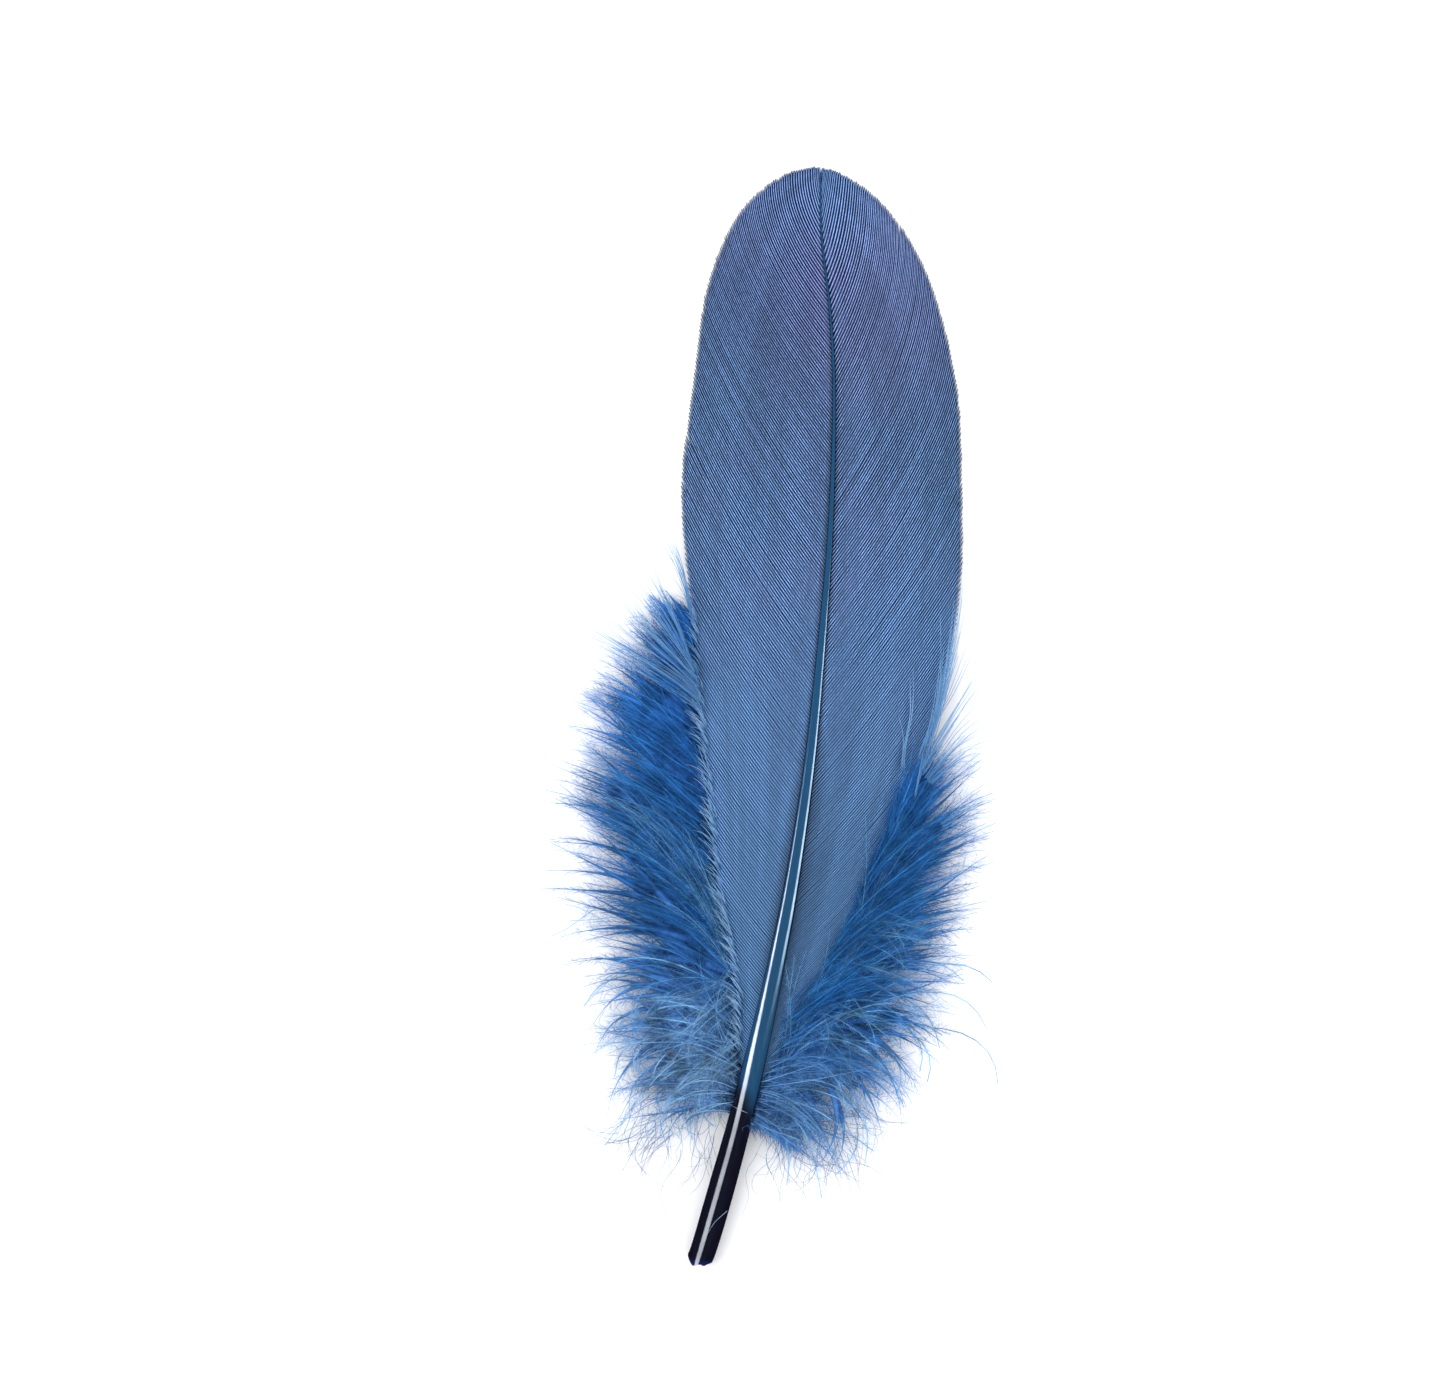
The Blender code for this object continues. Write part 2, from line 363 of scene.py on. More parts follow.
def times(tree, product, *values):
    """A chain of Math nodes that multiplies all values."""
    for value in values:
        product = calc(tree, "MULTIPLY", product, value)
    return product


def plus(tree, total, *values):
    """A chain of Math nodes that adds all values."""
    for value in values:
        total = calc(tree, "ADD", total, value)
    return total


def remap(tree, value, low, high, to_low=0.0, to_high=1.0, smooth=False):
    """Fits value from low..high to to_low..to_high, clamped."""
    made = tree.nodes.new("ShaderNodeMapRange")
    made.interpolation_type = "SMOOTHSTEP" if smooth else "LINEAR"
    for name, given in (("Value", value), ("From Min", low), ("From Max", high),
                        ("To Min", to_low), ("To Max", to_high)):
        plug(tree, made.inputs[name], given)
    return made.outputs["Result"]


def blend(tree, share, one, other, kind="MIX"):
    """Mixes two colours."""
    made = tree.nodes.new("ShaderNodeMix")
    made.data_type, made.blend_type = "RGBA", kind
    plug(tree, made.inputs[0], share)
    plug(tree, made.inputs[6], one)
    plug(tree, made.inputs[7], other)
    return made.outputs[2]


def shaded(tree, colour, value):
    """A colour made lighter or darker by a value around 1."""
    grey = add(tree, "CombineColor", Red=value, Green=value, Blue=value)
    return blend(tree, 1.0, colour, grey.outputs[0], "MULTIPLY")


def apart(tree, one, other):
    """How far two numbers are apart."""
    return calc(tree, "ABSOLUTE", calc(tree, "SUBTRACT", one, other))


def vector_calc(tree, operation, one, other):
    """A Vector Math node on two places; returns its outputs."""
    made = add(tree, "VectorMath", {"operation": operation})
    plug(tree, made.inputs[0], one)
    plug(tree, made.inputs[1], other)
    return made.outputs


def noise(tree, place, scale=1.0, detail=1.0, **settings):
    return add(tree, "TexNoise", Vector=place, Scale=scale, Detail=detail, **settings).outputs["Fac"]


def stretched(tree, x, by_x, y, by_y):
    """Two numbers as a place for noise, each stretched by its own amount."""
    return add(tree, "CombineXYZ", X=times(tree, x, by_x), Y=times(tree, y, by_y)).outputs[0]


def part(tree, place, axis="Y"):
    """One of the three numbers of a place; y runs from the quill to the tip."""
    return add(tree, "SeparateXYZ", Vector=place).outputs[axis]


def chance(tree, number):
    """A random value of its own for every whole number."""
    return add(tree, "TexWhiteNoise", {"noise_dimensions": "1D"}, W=number).outputs["Value"]


def strand_map(tree, count):
    """From the map of a piece: how far along, which of its strands, and where across the strand's strip."""
    strip = add(tree, "SeparateXYZ", Vector=add(tree, "UVMap", {"uv_map": "OFBake"}).outputs[0])
    counted = times(tree, strip.outputs["Y"], float(count))
    return strip.outputs["X"], calc(tree, "FLOOR", counted), calc(tree, "FRACT", counted)


def new_group(name, inputs, outputs):
    """An empty node group; inputs and outputs are (name, socket type, default)."""
    tree = bpy.data.node_groups.new(name, "ShaderNodeTree")
    for way, rows in (("INPUT", inputs), ("OUTPUT", outputs)):
        for label, kind, default in rows:
            socket = tree.interface.new_socket(label, in_out=way, socket_type="NodeSocket" + kind)
            if default is not None:
                socket.default_value = default
    return tree, tree.nodes.new("NodeGroupInput").outputs, tree.nodes.new("NodeGroupOutput").inputs


def use(tree, group, **inputs):
    """Places a group in a tree and returns its outputs."""
    return add(tree, "Group", {"node_tree": group}, **inputs).outputs


def new_material(name, roughness, **constants):
    """A Principled material with its fixed values; returns its tree and shader."""
    material = bpy.data.materials.new(name)
    material.use_nodes = True
    tree = material.node_tree
    shader = tree.nodes["Principled BSDF"]
    shader.inputs["Roughness"].default_value = roughness
    for label, value in constants.items():
        shader.inputs[label.replace("_", " ")].default_value = value
    return material, tree, shader


# %% [markdown]
# ## The dye
# The feather took its dye unevenly: a bath of blue, a violet stain high on the right, a
# greener, paler blue low down. The same bath coloured every part, so the unevenness is
# one node group that each material uses with its own colours.

# %% The dye group
STAIN_PIXEL = (874, 318)
STAIN_REACH = 15.5

dye_group, dye_in, dye_out = new_group(
    "Dye bath",
    [("Place", "Vector", None), ("Blue", "Color", (0.1, 0.18, 0.37, 1)),
     ("Violet", "Color", (0.12, 0.16, 0.34, 1)), ("Pale", "Color", (0.1, 0.21, 0.4, 1)),
     ("Cloud Size", "Float", 0.02)],
    [("Colour", "Color", None)])
scale = calc(dye_group, "DIVIDE", 1.0, dye_in["Cloud Size"])
cloud = noise(dye_group, dye_in["Place"], scale, 3.0, Roughness=0.55)
elsewhere = vector_calc(dye_group, "ADD", dye_in["Place"], (0.31, 0.17, 0.05))["Vector"]
second = noise(dye_group, elsewhere, scale, 2.0, Roughness=0.5)
low_down = remap(dye_group, part(dye_group, dye_in["Place"]), 0.03, -0.05, smooth=True)
stain = seen_at(STAIN_PIXEL) * MM
from_stain = vector_calc(dye_group, "DISTANCE", dye_in["Place"], (*stain, 0.0))["Value"]
stained = remap(dye_group, from_stain, STAIN_REACH * 1.5 * MM, STAIN_REACH * 0.3 * MM, smooth=True)
violet_share = plus(dye_group, times(dye_group, stained, 0.75), remap(dye_group, cloud, 0.45, 0.72, 0.0, 0.5))
violet_share = remap(dye_group, calc(dye_group, "SUBTRACT", violet_share, low_down), 0.0, 1.0)
pale_share = plus(dye_group, remap(dye_group, second, 0.5, 0.75, 0.0, 0.4), times(dye_group, low_down, 0.6))
tinted = blend(dye_group, violet_share, dye_in["Blue"], dye_in["Violet"])
plug(dye_group, dye_out["Colour"], blend(dye_group, pale_share, tinted, dye_in["Pale"]))
print("the dye group has", len(dye_group.nodes), "nodes, and its stain lies at", stain.round(3))

# %% [markdown]
# ## The shaft
# The shaft starts as a hollow quill, glossy and nearly black with dye, and becomes the
# rachis, a solid rib between the vanes that thins to a thread. A turned tube would
# miss its section, so each ring is a circle at the quill that turns into a square with
# round corners along the rachis, with a groove underneath. The quill was snipped off,
# and its thin wall has chipped: the cut follows a small profile around the rim.
# Distances along the shaft are counted from the quill's end.

# %% Shaft mesh
RINGS, SIDES = 150, 44
BORE = 1.6
BORE_DEPTH = 21.0
BORE_STRIP = 0.03
CUT_FADE = 2.0
# The rings crowd towards the quill, where the section changes most
CROWDED, CROWDING = 0.35, 2.2
FIRST_RING, LAST_RING = 0.2, 0.5
ROUND, SQUARE = 2.0, 5.5
GROOVE, GROOVE_ANGLE = 0.25, 22
# The rachis is a little wider than its solid, and lies a little to the left halfway up
WIDENING, ASIDE = 0.05, 0.09
# Degrees round the rim from its right side, and how far the wall is chipped back there
CHIPS = np.array([(0, 1.25), (37, 1.2), (71, 0.42), (81, 0.62), (100, 0.45), (124, 0.0), (160, 1.0),
                  (180, 1.45), (215, 0.5), (270, 0.9), (310, 0.3), (360, 1.25)])


def ramp(y, low, high):
    """0 below low, 1 above high, smooth between."""
    share = np.clip((y - low) / (high - low), 0, 1)
    return share * share * (3 - 2 * share)


def shaft_rings(rows, radius, square, groove):
    """Rings of points across the shaft; radius, square and groove are given for each row."""
    from_end = rows - QUILL_END
    aside = ASIDE * ramp(from_end, 40, 55) * ramp(from_end, 120, 95)
    line = np.stack([shaft_x(rows) - aside, rows, shaft_z(rows)], axis=1)
    across, over = crossways(unit(np.gradient(line, axis=0)), UP)
    angle = np.arange(SIDES) * 2 * math.pi / SIDES
    flat, tall = np.cos(angle)[None], np.sin(angle)[None]
    power = square[:, None]
    shape = (np.abs(flat) ** power + np.abs(tall) ** power) ** (-1 / power)
    below = np.exp(-((np.degrees(angle) - 270) / GROOVE_ANGLE) ** 2)[None]
    reach = radius[:, None] * shape * (1 - groove[:, None] * below)
    sideways = (reach * flat)[:, :, None] * across[:, None]
    upwards = (reach * tall)[:, :, None] * over[:, None]
    return line[:, None] + sideways + upwards


share = np.linspace(0, 1, RINGS)
from_end = CROWDED * share ** CROWDING + (1 - CROWDED) * share
from_end = FIRST_RING + (LENGTH - FIRST_RING - LAST_RING) * from_end
rows = QUILL_END + from_end
radius = shaft_r(rows) * (1 + WIDENING * ramp(from_end, 40, 60))
square = ROUND + (SQUARE - ROUND) * ramp(from_end, 18, 70)
outside = shaft_rings(rows, radius, square, GROOVE * ramp(from_end, 30, 60))
bored = rows[from_end < BORE_DEPTH]
inside = shaft_rings(bored, np.full(len(bored), BORE), np.full(len(bored), ROUND), np.zeros(len(bored)))
chipped = np.interp(np.arange(SIDES) * 360 / SIDES, CHIPS[:, 0], CHIPS[:, 1])
for rings in (outside, inside):
    fade = np.exp(-(rows[:len(rings)] - rows[0]) / CUT_FADE)
    rings[:, :, 1] += chipped[None] * fade[:, None]

shaft_build = Strands()
whole, outer_u = np.zeros(1), np.linspace(BORE_STRIP, 1, RINGS)
outer = shaft_build.add_tubes(outside[None], outer_u, whole, 1.0, ends=False)[0]
inner_u = np.linspace(BORE_STRIP / 2, 0, len(bored))
inner = shaft_build.add_tubes(inside[None], inner_u, whole, 1.0, inward=True, ends=False)[0]
rim = np.stack([outer[0], np.roll(outer[0], -1), np.roll(inner[0], -1), inner[0]], axis=-1)
turn = np.arange(SIDES) / SIDES
rim_v = np.stack([turn, turn + 1 / SIDES, turn + 1 / SIDES, turn], axis=-1)
shaft_build.add_faces(rim, np.array([1, 1, 0.5, 0.5]) * BORE_STRIP, rim_v)
zigzag = ZIGZAG * (np.arange(SIDES) % 2)
shaft_build.add_faces(outer[-1:, ::-1], 1 - zigzag, turn[None, ::-1])
shaft_build.add_faces(inner[-1:], zigzag, turn[None])
shaft_mesh = shaft_build.mesh("shaft_rod")
shaft_mesh.set_sharp_from_angle(angle=math.radians(50))
print("shaft is", LENGTH, "mm long, bored for", BORE_DEPTH, "mm")

# %% [markdown]
# ### The shaft's finish
# Keratin is clear and glossy, so the colour lies under a coat, and the coat alone
# mirrors: the layer below would spread the light and turn the flat top grey. The colour
# is nearly black navy along the quill and turns teal in a slanting line where the vanes
# begin. The sides of the rachis are painted darker than its flat top, as painted shade
# where the shaft meets the vanes, reaching a little further in on the right. The map runs
# once around the shaft, so the cosine of that turn says which way a face looks.

# %% Shaft material
quill_finish, tree, shader = new_material(
    "dyed keratin", 0.4, Coat_Roughness=0.13, IOR=1.5, Specular_IOR_Level=0.0)
place = add(tree, "TexCoord").outputs["Object"]
up = part(tree, place)
around = part(tree, add(tree, "UVMap", {"uv_map": "OFBake"}).outputs[0])
flat = calc(tree, "COSINE", times(tree, around, 2 * math.pi))
outward = plus(tree, calc(tree, "ABSOLUTE", flat), times(tree, flat, 0.04))
streaks = add(tree, "Mapping", Vector=place, Scale=(2600.0, 60.0, 2600.0))
lines = noise(tree, streaks.outputs[0], 1.0, 3.0)
wander = noise(tree, place, 260.0, 2.0)
level = plus(tree, up, times(tree, flat, 0.0022), times(tree, wander, 0.003))
teal_start = (QUILL_END + 28.0) * MM
turned = remap(tree, level, teal_start, teal_start + 0.0045, smooth=True)
navy = blend(tree, lines, (0.002, 0.002, 0.005, 1), (0.007, 0.007, 0.018, 1))
at_rim = remap(tree, up, (QUILL_END + 1.6) * MM, (QUILL_END + 0.5) * MM)
navy = blend(tree, at_rim, navy, (0.008, 0.014, 0.09, 1))
teal = blend(tree, lines, (0.007, 0.042, 0.10, 1), (0.013, 0.070, 0.152, 1))
thin_end = remap(tree, up, -0.055, 0.02, smooth=True)
rib = blend(tree, thin_end, teal, (0.011, 0.062, 0.146, 1))
# Painted shade: the sides of the rachis turn near black where it meets the vanes
side_shade_start = times(tree, remap(tree, up, -0.055, -0.03, 0.80, 0.63), remap(tree, up, 0.015, 0.06, 1.0, 0.8))
painted_side_shade = remap(tree, outward, side_shade_start, plus(tree, side_shade_start, 0.08), smooth=True)
rib = blend(tree, painted_side_shade, rib, (0.0015, 0.004, 0.016, 1))
plug(tree, shader.inputs["Base Color"], blend(tree, turned, navy, rib))
gloss = remap(tree, up, -0.066, -0.056, 0.55, 1.0, smooth=True)
plug(tree, shader.inputs["Coat Weight"], times(tree, gloss, remap(tree, wander, 0.35, 0.6, 0.75, 1.0)))
bump = add(tree, "Bump", Strength=0.15, Distance=0.00003, Height=lines)
plug(tree, shader.inputs["Normal"], bump.outputs[0])
add_piece("shaft_rod", shaft_mesh, quill_finish, "quill", "shaft")

# %% [markdown]
# ## How the barbs lie
# Barbs leave the shaft at an angle and bend towards the tip on the way out. The angle
# differs from side to side and from quill to tip, so it is a small table of leans,
# near the shaft and at the edge, and each barb is traced step by step through that
# field until it meets the edge of the vane. Lines traced through one smooth field
# never cross, just as hooked barbs don't.

# %% Trace the barbs
# Lean from the feather's own direction in degrees: y from the quill, at the shaft, at the edge
LEANS = {
    LEFT: np.array([(30, 52, 47), (60, 46, 42), (92, 44, 38), (130, 43, 31), (152, 44, 28), (160, 43, 25),
                    (166, 40, 21), (172, 32, 13), (177, 16, 5), (180, 4, 0)], float),
    RIGHT: np.array([(30, 45, 41), (64, 41, 36), (80, 37, 32), (92, 33, 29), (107, 31, 27), (114, 31, 26),
                     (120, 30, 22), (127, 28, 20), (134, 25, 19), (140, 25, 15), (147, 22, 8), (154, 20, 5),
                     (160, 18, 0), (165, 15, -4), (170, 9, -7), (175, 5, -6), (180, 2, -3)], float),
}
# Distance between barbs along the shaft: y from the quill, distance
SPACINGS = {
    LEFT: np.array([(33, 0.42), (60, 0.53), (85, 0.61), (135, 0.64), (148, 0.70), (158, 0.82),
                    (166, 0.95), (175, 1.1)]),
    RIGHT: np.array([(31, 0.42), (60, 0.56), (85, 0.70), (135, 0.74), (148, 0.83), (158, 0.98),
                     (166, 1.1), (175, 1.2)]),
}
VANE_FOOT = {LEFT: 33.0, RIGHT: 31.0}
# The last barb stands this far below the tip
LAST_BARB = 0.7
STEP = 0.35
BARB_POINTS = 26
TRACE_LENGTH = 75


def lean(side, y, out):
    table = LEANS[side]
    near = np.interp(y - QUILL_END, table[:, 0], table[:, 1])
    far = np.interp(y - QUILL_END, table[:, 0], table[:, 2])
    return np.radians(near + (far - near) * np.clip(out, 0, 1.2))


def barb_roots(side):
    """Where barbs stand on the shaft: close together low down, further apart above."""
    y, roots = VANE_FOOT[side], []
    while y < LENGTH - LAST_BARB:
        roots.append(y + QUILL_END)
        y += np.interp(y, SPACINGS[side][:, 0], SPACINGS[side][:, 1])
    return np.array(roots)


def trace(side, roots):
    """Each barb as a line of evenly spaced x, y from the shaft to the vane's edge."""
    places = np.stack([shaft_x(roots) + side * 0.55 * shaft_r(roots), roots], axis=1)
    steps = [places]
    for _ in range(int(TRACE_LENGTH / STEP)):
        out = side * (places[:, 0] - shaft_x(places[:, 1])) / vane_width(side, places[:, 1])
        angle = lean(side, places[:, 1], out)
        places = places + STEP * np.stack([side * np.sin(angle), np.cos(angle)], axis=1)
        steps.append(places)
    steps = np.array(steps)
    out = side * (steps[:, :, 0] - shaft_x(steps[:, :, 1])) / vane_width(side, steps[:, :, 1])
    beyond = (out >= 1) | (steps[:, :, 1] >= TIP)
    lines = []
    for barb in range(len(roots)):
        last = int(np.argmax(beyond[:, barb])) if beyond[:, barb].any() else len(steps) - 1
        lines.append(resampled(steps[:max(last, 2) + 1, barb], BARB_POINTS))
    return np.array(lines)


def vane_height(side, x, y):
    """Height of the vane's sheet: level at the shaft, dropping towards the edge."""
    out = np.clip(side * (x - shaft_x(y)) / vane_width(side, y), 0, 1.1)
    root_z = shaft_z(y) + 0.3 * shaft_r(y)
    rim_z = edge_z[side](y)
    return root_z + (rim_z - root_z) * out * out


def vane_normals(side, x, y):
    """Which way the sheet looks, from its height a little to each side."""
    reach = 0.3
    slope_x = (vane_height(side, x + reach, y) - vane_height(side, x - reach, y)) / (2 * reach)
    slope_y = (vane_height(side, x, y + reach) - vane_height(side, x, y - reach)) / (2 * reach)
    return unit(np.stack([-slope_x, -slope_y, np.ones_like(x)], axis=-1))


barbs = {side: trace(side, barb_roots(side)) for side in (LEFT, RIGHT)}
for side, word in BOTH_SIDES:
    longest = along_line(barbs[side])[:, -1].max()
    print("the", word, "side has", len(barbs[side]), "barbs, the longest", round(longest, 1), "mm")

# %% [markdown]
# ## The barbs of the vanes
# A barb is a thin rib with a fringe of barbules on both sides, which hook onto those
# of its neighbours. Seen from a hand's breadth away each barb is a fine pale ridge with
# a dark furrow beside it. So the section is a ridge with two wings, and the wings of
# neighbours overlap like shingles. At three places on the rim the hooks have let go and
# the barbs part a little; low down, where the down begins, the barbs end one by one in
# a ragged line.

# %% Vane meshes
# Near wing, ridge, far wing and keel: across in barb widths, up in ridge heights
BARB_OUTLINE = np.array([(0.60, 0.12), (0.22, 0.18), (0.04, 1.0), (-0.2, 0.12), (-0.58, -0.22), (0.0, -0.5)])
RIDGE = 0.13
NARROWEST, WIDEST = 0.12, 0.75
# Distance from the quill's end to a place on the rim, and how far the barbs part there
NOTCHES = {LEFT: ((135.0, 0.10), (127.5, 0.07)), RIGHT: ((172.5, 0.12),)}
NOTCH_REACH = 1.6
WAVER, WAVER_TURNS, RIPPLE = 0.02, 5, 0.08
# The sheet isn't quite even from barb to barb
UNEVEN = 0.012
LOWEST = 0.3
RAGGED_BELOW = {LEFT: 108.0, RIGHT: 104.0}


def directions(lines):
    """Along flat lines, and square to them."""
    ahead = unit(np.gradient(lines, axis=1))
    return ahead, np.stack([-ahead[:, :, 1], ahead[:, :, 0]], axis=-1)


def barb_gaps(lines):
    """Distance from each barb to its neighbours, measured square to the barb."""
    square = directions(lines)[1]
    between = np.abs(((lines[1:] - lines[:-1]) * square[:-1]).sum(axis=-1))
    gaps = np.concatenate([between[:1], (between[1:] + between[:-1]) / 2, between[-1:]])
    return np.clip(gaps, NARROWEST, WIDEST)


def make_vane(side, name, node, material):
    """The barbs of one side as a piece, each as wide as its distance from the next."""
    lines = barbs[side].copy()
    count = len(lines)
    gaps = barb_gaps(lines)
    along = np.linspace(0, 1, BARB_POINTS)[None]
    rim_y = lines[:, -1, 1] - QUILL_END
    shift = np.zeros(count)
    for y, depth in NOTCHES[side]:
        shift += depth * np.sign(rim_y - y) * np.exp(-np.abs(rim_y - y) / NOTCH_REACH)
    ahead, square = directions(lines)
    waver = rng.normal(0, WAVER, (count, 1)) * np.sin(along * WAVER_TURNS + rng.uniform(0, 6, (count, 1)))
    lines += side * square * (shift[:, None] * ramp(along, 0.72, 1.0) + waver)[:, :, None]
    ragged = ramp(rim_y, RAGGED_BELOW[side] + 4, RAGGED_BELOW[side] - 4)
    beyond = rng.uniform(-0.05, 0.09, count) + ragged * rng.uniform(-0.1, 0.9, count)
    lines += ahead * beyond[:, None, None] * ramp(along, 0.8, 1.0)[:, :, None]
    x, y = lines[:, :, 0], lines[:, :, 1]
    ripple = RIPPLE * np.sin(y * 0.55 + x * 0.35) * ramp(along, 0.45, 1.0)
    height = vane_height(side, x, y) + ripple + rng.normal(0, UNEVEN, (count, 1))
    spine = np.concatenate([lines, np.maximum(height, LOWEST)[:, :, None]], axis=2)
    wide = gaps * (1 - 0.7 * ramp(along, 0.985, 1.0)) * (1 - 0.45 * ragged[:, None] * ramp(along, 0.93, 1.0))
    ridge = RIDGE * (1 - 0.45 * along) * rng.uniform(0.85, 1.15, (count, 1))
    outline = BARB_OUTLINE
    if side == LEFT:
        outline = np.roll(outline[::-1] * (-1, 1), -1, axis=0)
    strands = Strands()
    strands.add_strands(spine, vane_normals(side, x, y), wide, ridge, outline)
    add_piece(name, strands.mesh(name), material, "vane", node)


# %% [markdown]
# ### The vane's finish
# The ridges are painted pale and the furrows navy: partly the barbs' own colour, partly
# painted highlight on the ridges and painted shade in the furrows. How strong the lines
# look changes over the vane in soft columns beside the shaft, painted light and shade for
# the way all barbs turn a little in the light at the same distance from it, and it grows
# towards the rim at the tip, where the barbs stand further apart. Single barbs, short
# dashes along them and a weave across two or three of them are each a little paler or
# darker. The map gives every barb a strip of its own, so one number holds which barb it
# is, and where across it a point lies.

# %% The band group
RIDGE_AT = 2 / len(BARB_OUTLINE)
MEAN_LINE = 0.38

bands_group, bands_in, bands_out = new_group(
    "Barb bands", [("Place", "Vector", None), ("Barb", "Float", 0.0), ("Length", "Float", 0.0),
                   ("At Shaft", "Float", 0.6), ("Beside It", "Float", 0.7)],
    [("Contrast", "Float", None), ("Tone", "Float", None), ("Barbules", "Float", None),
     ("Columns", "Float", None)])
barb, length, up = bands_in["Barb"], bands_in["Length"], part(bands_group, bands_in["Place"])
# Painted light and shade: the columns make lines stronger or weaker where the barbs turn in the light
columns = noise(bands_group, stretched(bands_group, barb, 0.014, length, 7.0), 1.0, 2.0, Roughness=0.5)
dashes = noise(bands_group, stretched(bands_group, barb, 7.37, length, 75.0))
patches = noise(bands_group, bands_in["Place"], 330.0)
weave = noise(bands_group, stretched(bands_group, barb, 0.45, length, 80.0), 1.0, 0.0)
low_down = remap(bands_group, up, 0.004, 0.036, 0.36, 1.0)
at_rim = remap(bands_group, length, 0.05, 0.7, 0.05, 0.65)
at_top = times(bands_group, remap(bands_group, up, 0.045, 0.08), at_rim)
near_shaft = remap(bands_group, length, 0.02, 0.12, bands_in["At Shaft"], 1.0)
dip = remap(bands_group, apart(bands_group, length, 0.13), 0.03, 0.1, bands_in["Beside It"], 1.0, smooth=True)
plug(bands_group, bands_out["Contrast"], times(
    bands_group, remap(bands_group, columns, 0.34, 0.56, 0.75, 1.3), low_down,
    plus(bands_group, at_top, 1.0), near_shaft, dip,
    remap(bands_group, dashes, 0.38, 0.62, 0.6, 1.6), remap(bands_group, patches, 0.36, 0.62, 0.8, 1.25),
    remap(bands_group, weave, 0.36, 0.62, 0.75, 1.3)))
plug(bands_group, bands_out["Tone"], plus(
    bands_group, times(bands_group, chance(bands_group, barb), 0.15), times(bands_group, dashes, 0.43),
    times(bands_group, weave, 0.42)))
plug(bands_group, bands_out["Barbules"], dashes)
plug(bands_group, bands_out["Columns"], columns)
print("the band group has", len(bands_group.nodes), "nodes")

# %% [markdown]
# The vane uses the group for the lines, and the dye twice: once for the furrows and once
# for the ridges. On top lie the wide changes: painted shade beside the quill, soft columns
# of painted light and shade, a pale rim low on the left, another tint near the tip, and the
# fine chevrons of the barbules.

# %% Vane material
def vane_material(name, count, at_shaft, beside_it, wide_shade, pale_rim, top_tint):
    """at_shaft and beside_it: how clear the lines are at the shaft and some millimetres off it.
    wide_shade: share of a barb that gets painted shade beside the quill. pale_rim: how much paler the low rim
    is.
    top_tint: the colour that the dye turns to near the tip."""
    material, tree, shader = new_material(name, 0.65, Specular_IOR_Level=0.12)
    place = add(tree, "TexCoord").outputs["Object"]
    up = part(tree, place)
    length, barb, across = strand_map(tree, count)
    from_ridge = apart(tree, across, RIDGE_AT)
    bands = use(tree, bands_group, Place=place, Barb=barb, Length=length, At_Shaft=at_shaft,
                Beside_It=beside_it)
    # Painted light and shade: ridges painted pale and furrows near black, partly the barbs' own colour
    ridge = remap(tree, from_ridge, 0.20, 0.05, smooth=True)
    line = plus(tree, times(tree, calc(tree, "SUBTRACT", ridge, MEAN_LINE), bands["Contrast"]), MEAN_LINE)
    dark = use(tree, dye_group, Place=place, Blue=(0.0015, 0.012, 0.065, 1), Violet=(0.004, 0.010, 0.06, 1),
               Pale=(0.002, 0.020, 0.09, 1), Cloud_Size=0.03)
    light = use(tree, dye_group, Place=place, Blue=(0.22, 0.43, 0.82, 1), Violet=(0.35, 0.455, 0.91, 1),
                Pale=(0.185, 0.48, 0.90, 1), Cloud_Size=0.03)
    colour = blend(tree, line, dark["Colour"], light["Colour"])
    colour = blend(tree, remap(tree, up, 0.045, 0.075, smooth=True), colour, top_tint, "MULTIPLY")
    tone = remap(tree, bands["Tone"], 0.34, 0.66,
                 remap(tree, up, 0.0, 0.04, 0.87, 0.73), remap(tree, up, 0.0, 0.04, 1.11, 1.28))
    # Painted shade beside the quill, reaching further out low down
    shade_end = remap(tree, up, -0.055, 0.0, wide_shade, 0.05)
    painted_shade_beside_shaft = remap(tree, length, 0.0, shade_end, 0.55, 1.0, smooth=True)
    # Painted light and shade: soft columns of lighter and darker tone beside the shaft
    columns = remap(tree, bands["Columns"], 0.36, 0.62, 0.87, 1.10)
    upper_part = remap(tree, up, 0.015, 0.055, 0.97, 0.8, smooth=True)
    near_tip = remap(tree, up, 0.064, 0.088, 1.0, 1.3, smooth=True)
    rim_shade = times(tree, remap(tree, length, 0.45, 0.95, 0.0, 0.14), remap(tree, up, 0.02, 0.06))
    rim_light = times(tree, remap(tree, length, 0.8, 1.0, 0.0, pale_rim), remap(tree, up, 0.03, 0.01))
    rim = calc(tree, "SUBTRACT", plus(tree, rim_light, 1.0), rim_shade)
    chevron = calc(tree, "FRACT", plus(tree, times(tree, length, 240.0), times(tree, from_ridge, 5.0)))
    fine = remap(tree, apart(tree, chevron, 0.5), 0.1, 0.4, 0.86, 1.12)
    worn = times(tree, tone, painted_shade_beside_shaft, columns, upper_part, near_tip, rim, fine)
    plug(tree, shader.inputs["Base Color"], shaded(tree, colour, worn))
    bump = add(tree, "Bump", Strength=0.4, Distance=0.00004, Height=bands["Barbules"])
    plug(tree, shader.inputs["Normal"], bump.outputs[0])
    return material


VANE_LOOKS = {LEFT: ("left", 0.4, 0.75, 0.38, 0.6, (0.96, 0.83, 0.90, 1)),
              RIGHT: ("right", 1.1, 0.5, 0.75, 0.3, (0.97, 0.96, 1.0, 1))}
for side, (word, *look) in VANE_LOOKS.items():
    make_vane(side, word + "_barbs", "vane_" + word, vane_material(word + " vane", len(barbs[side]), *look))

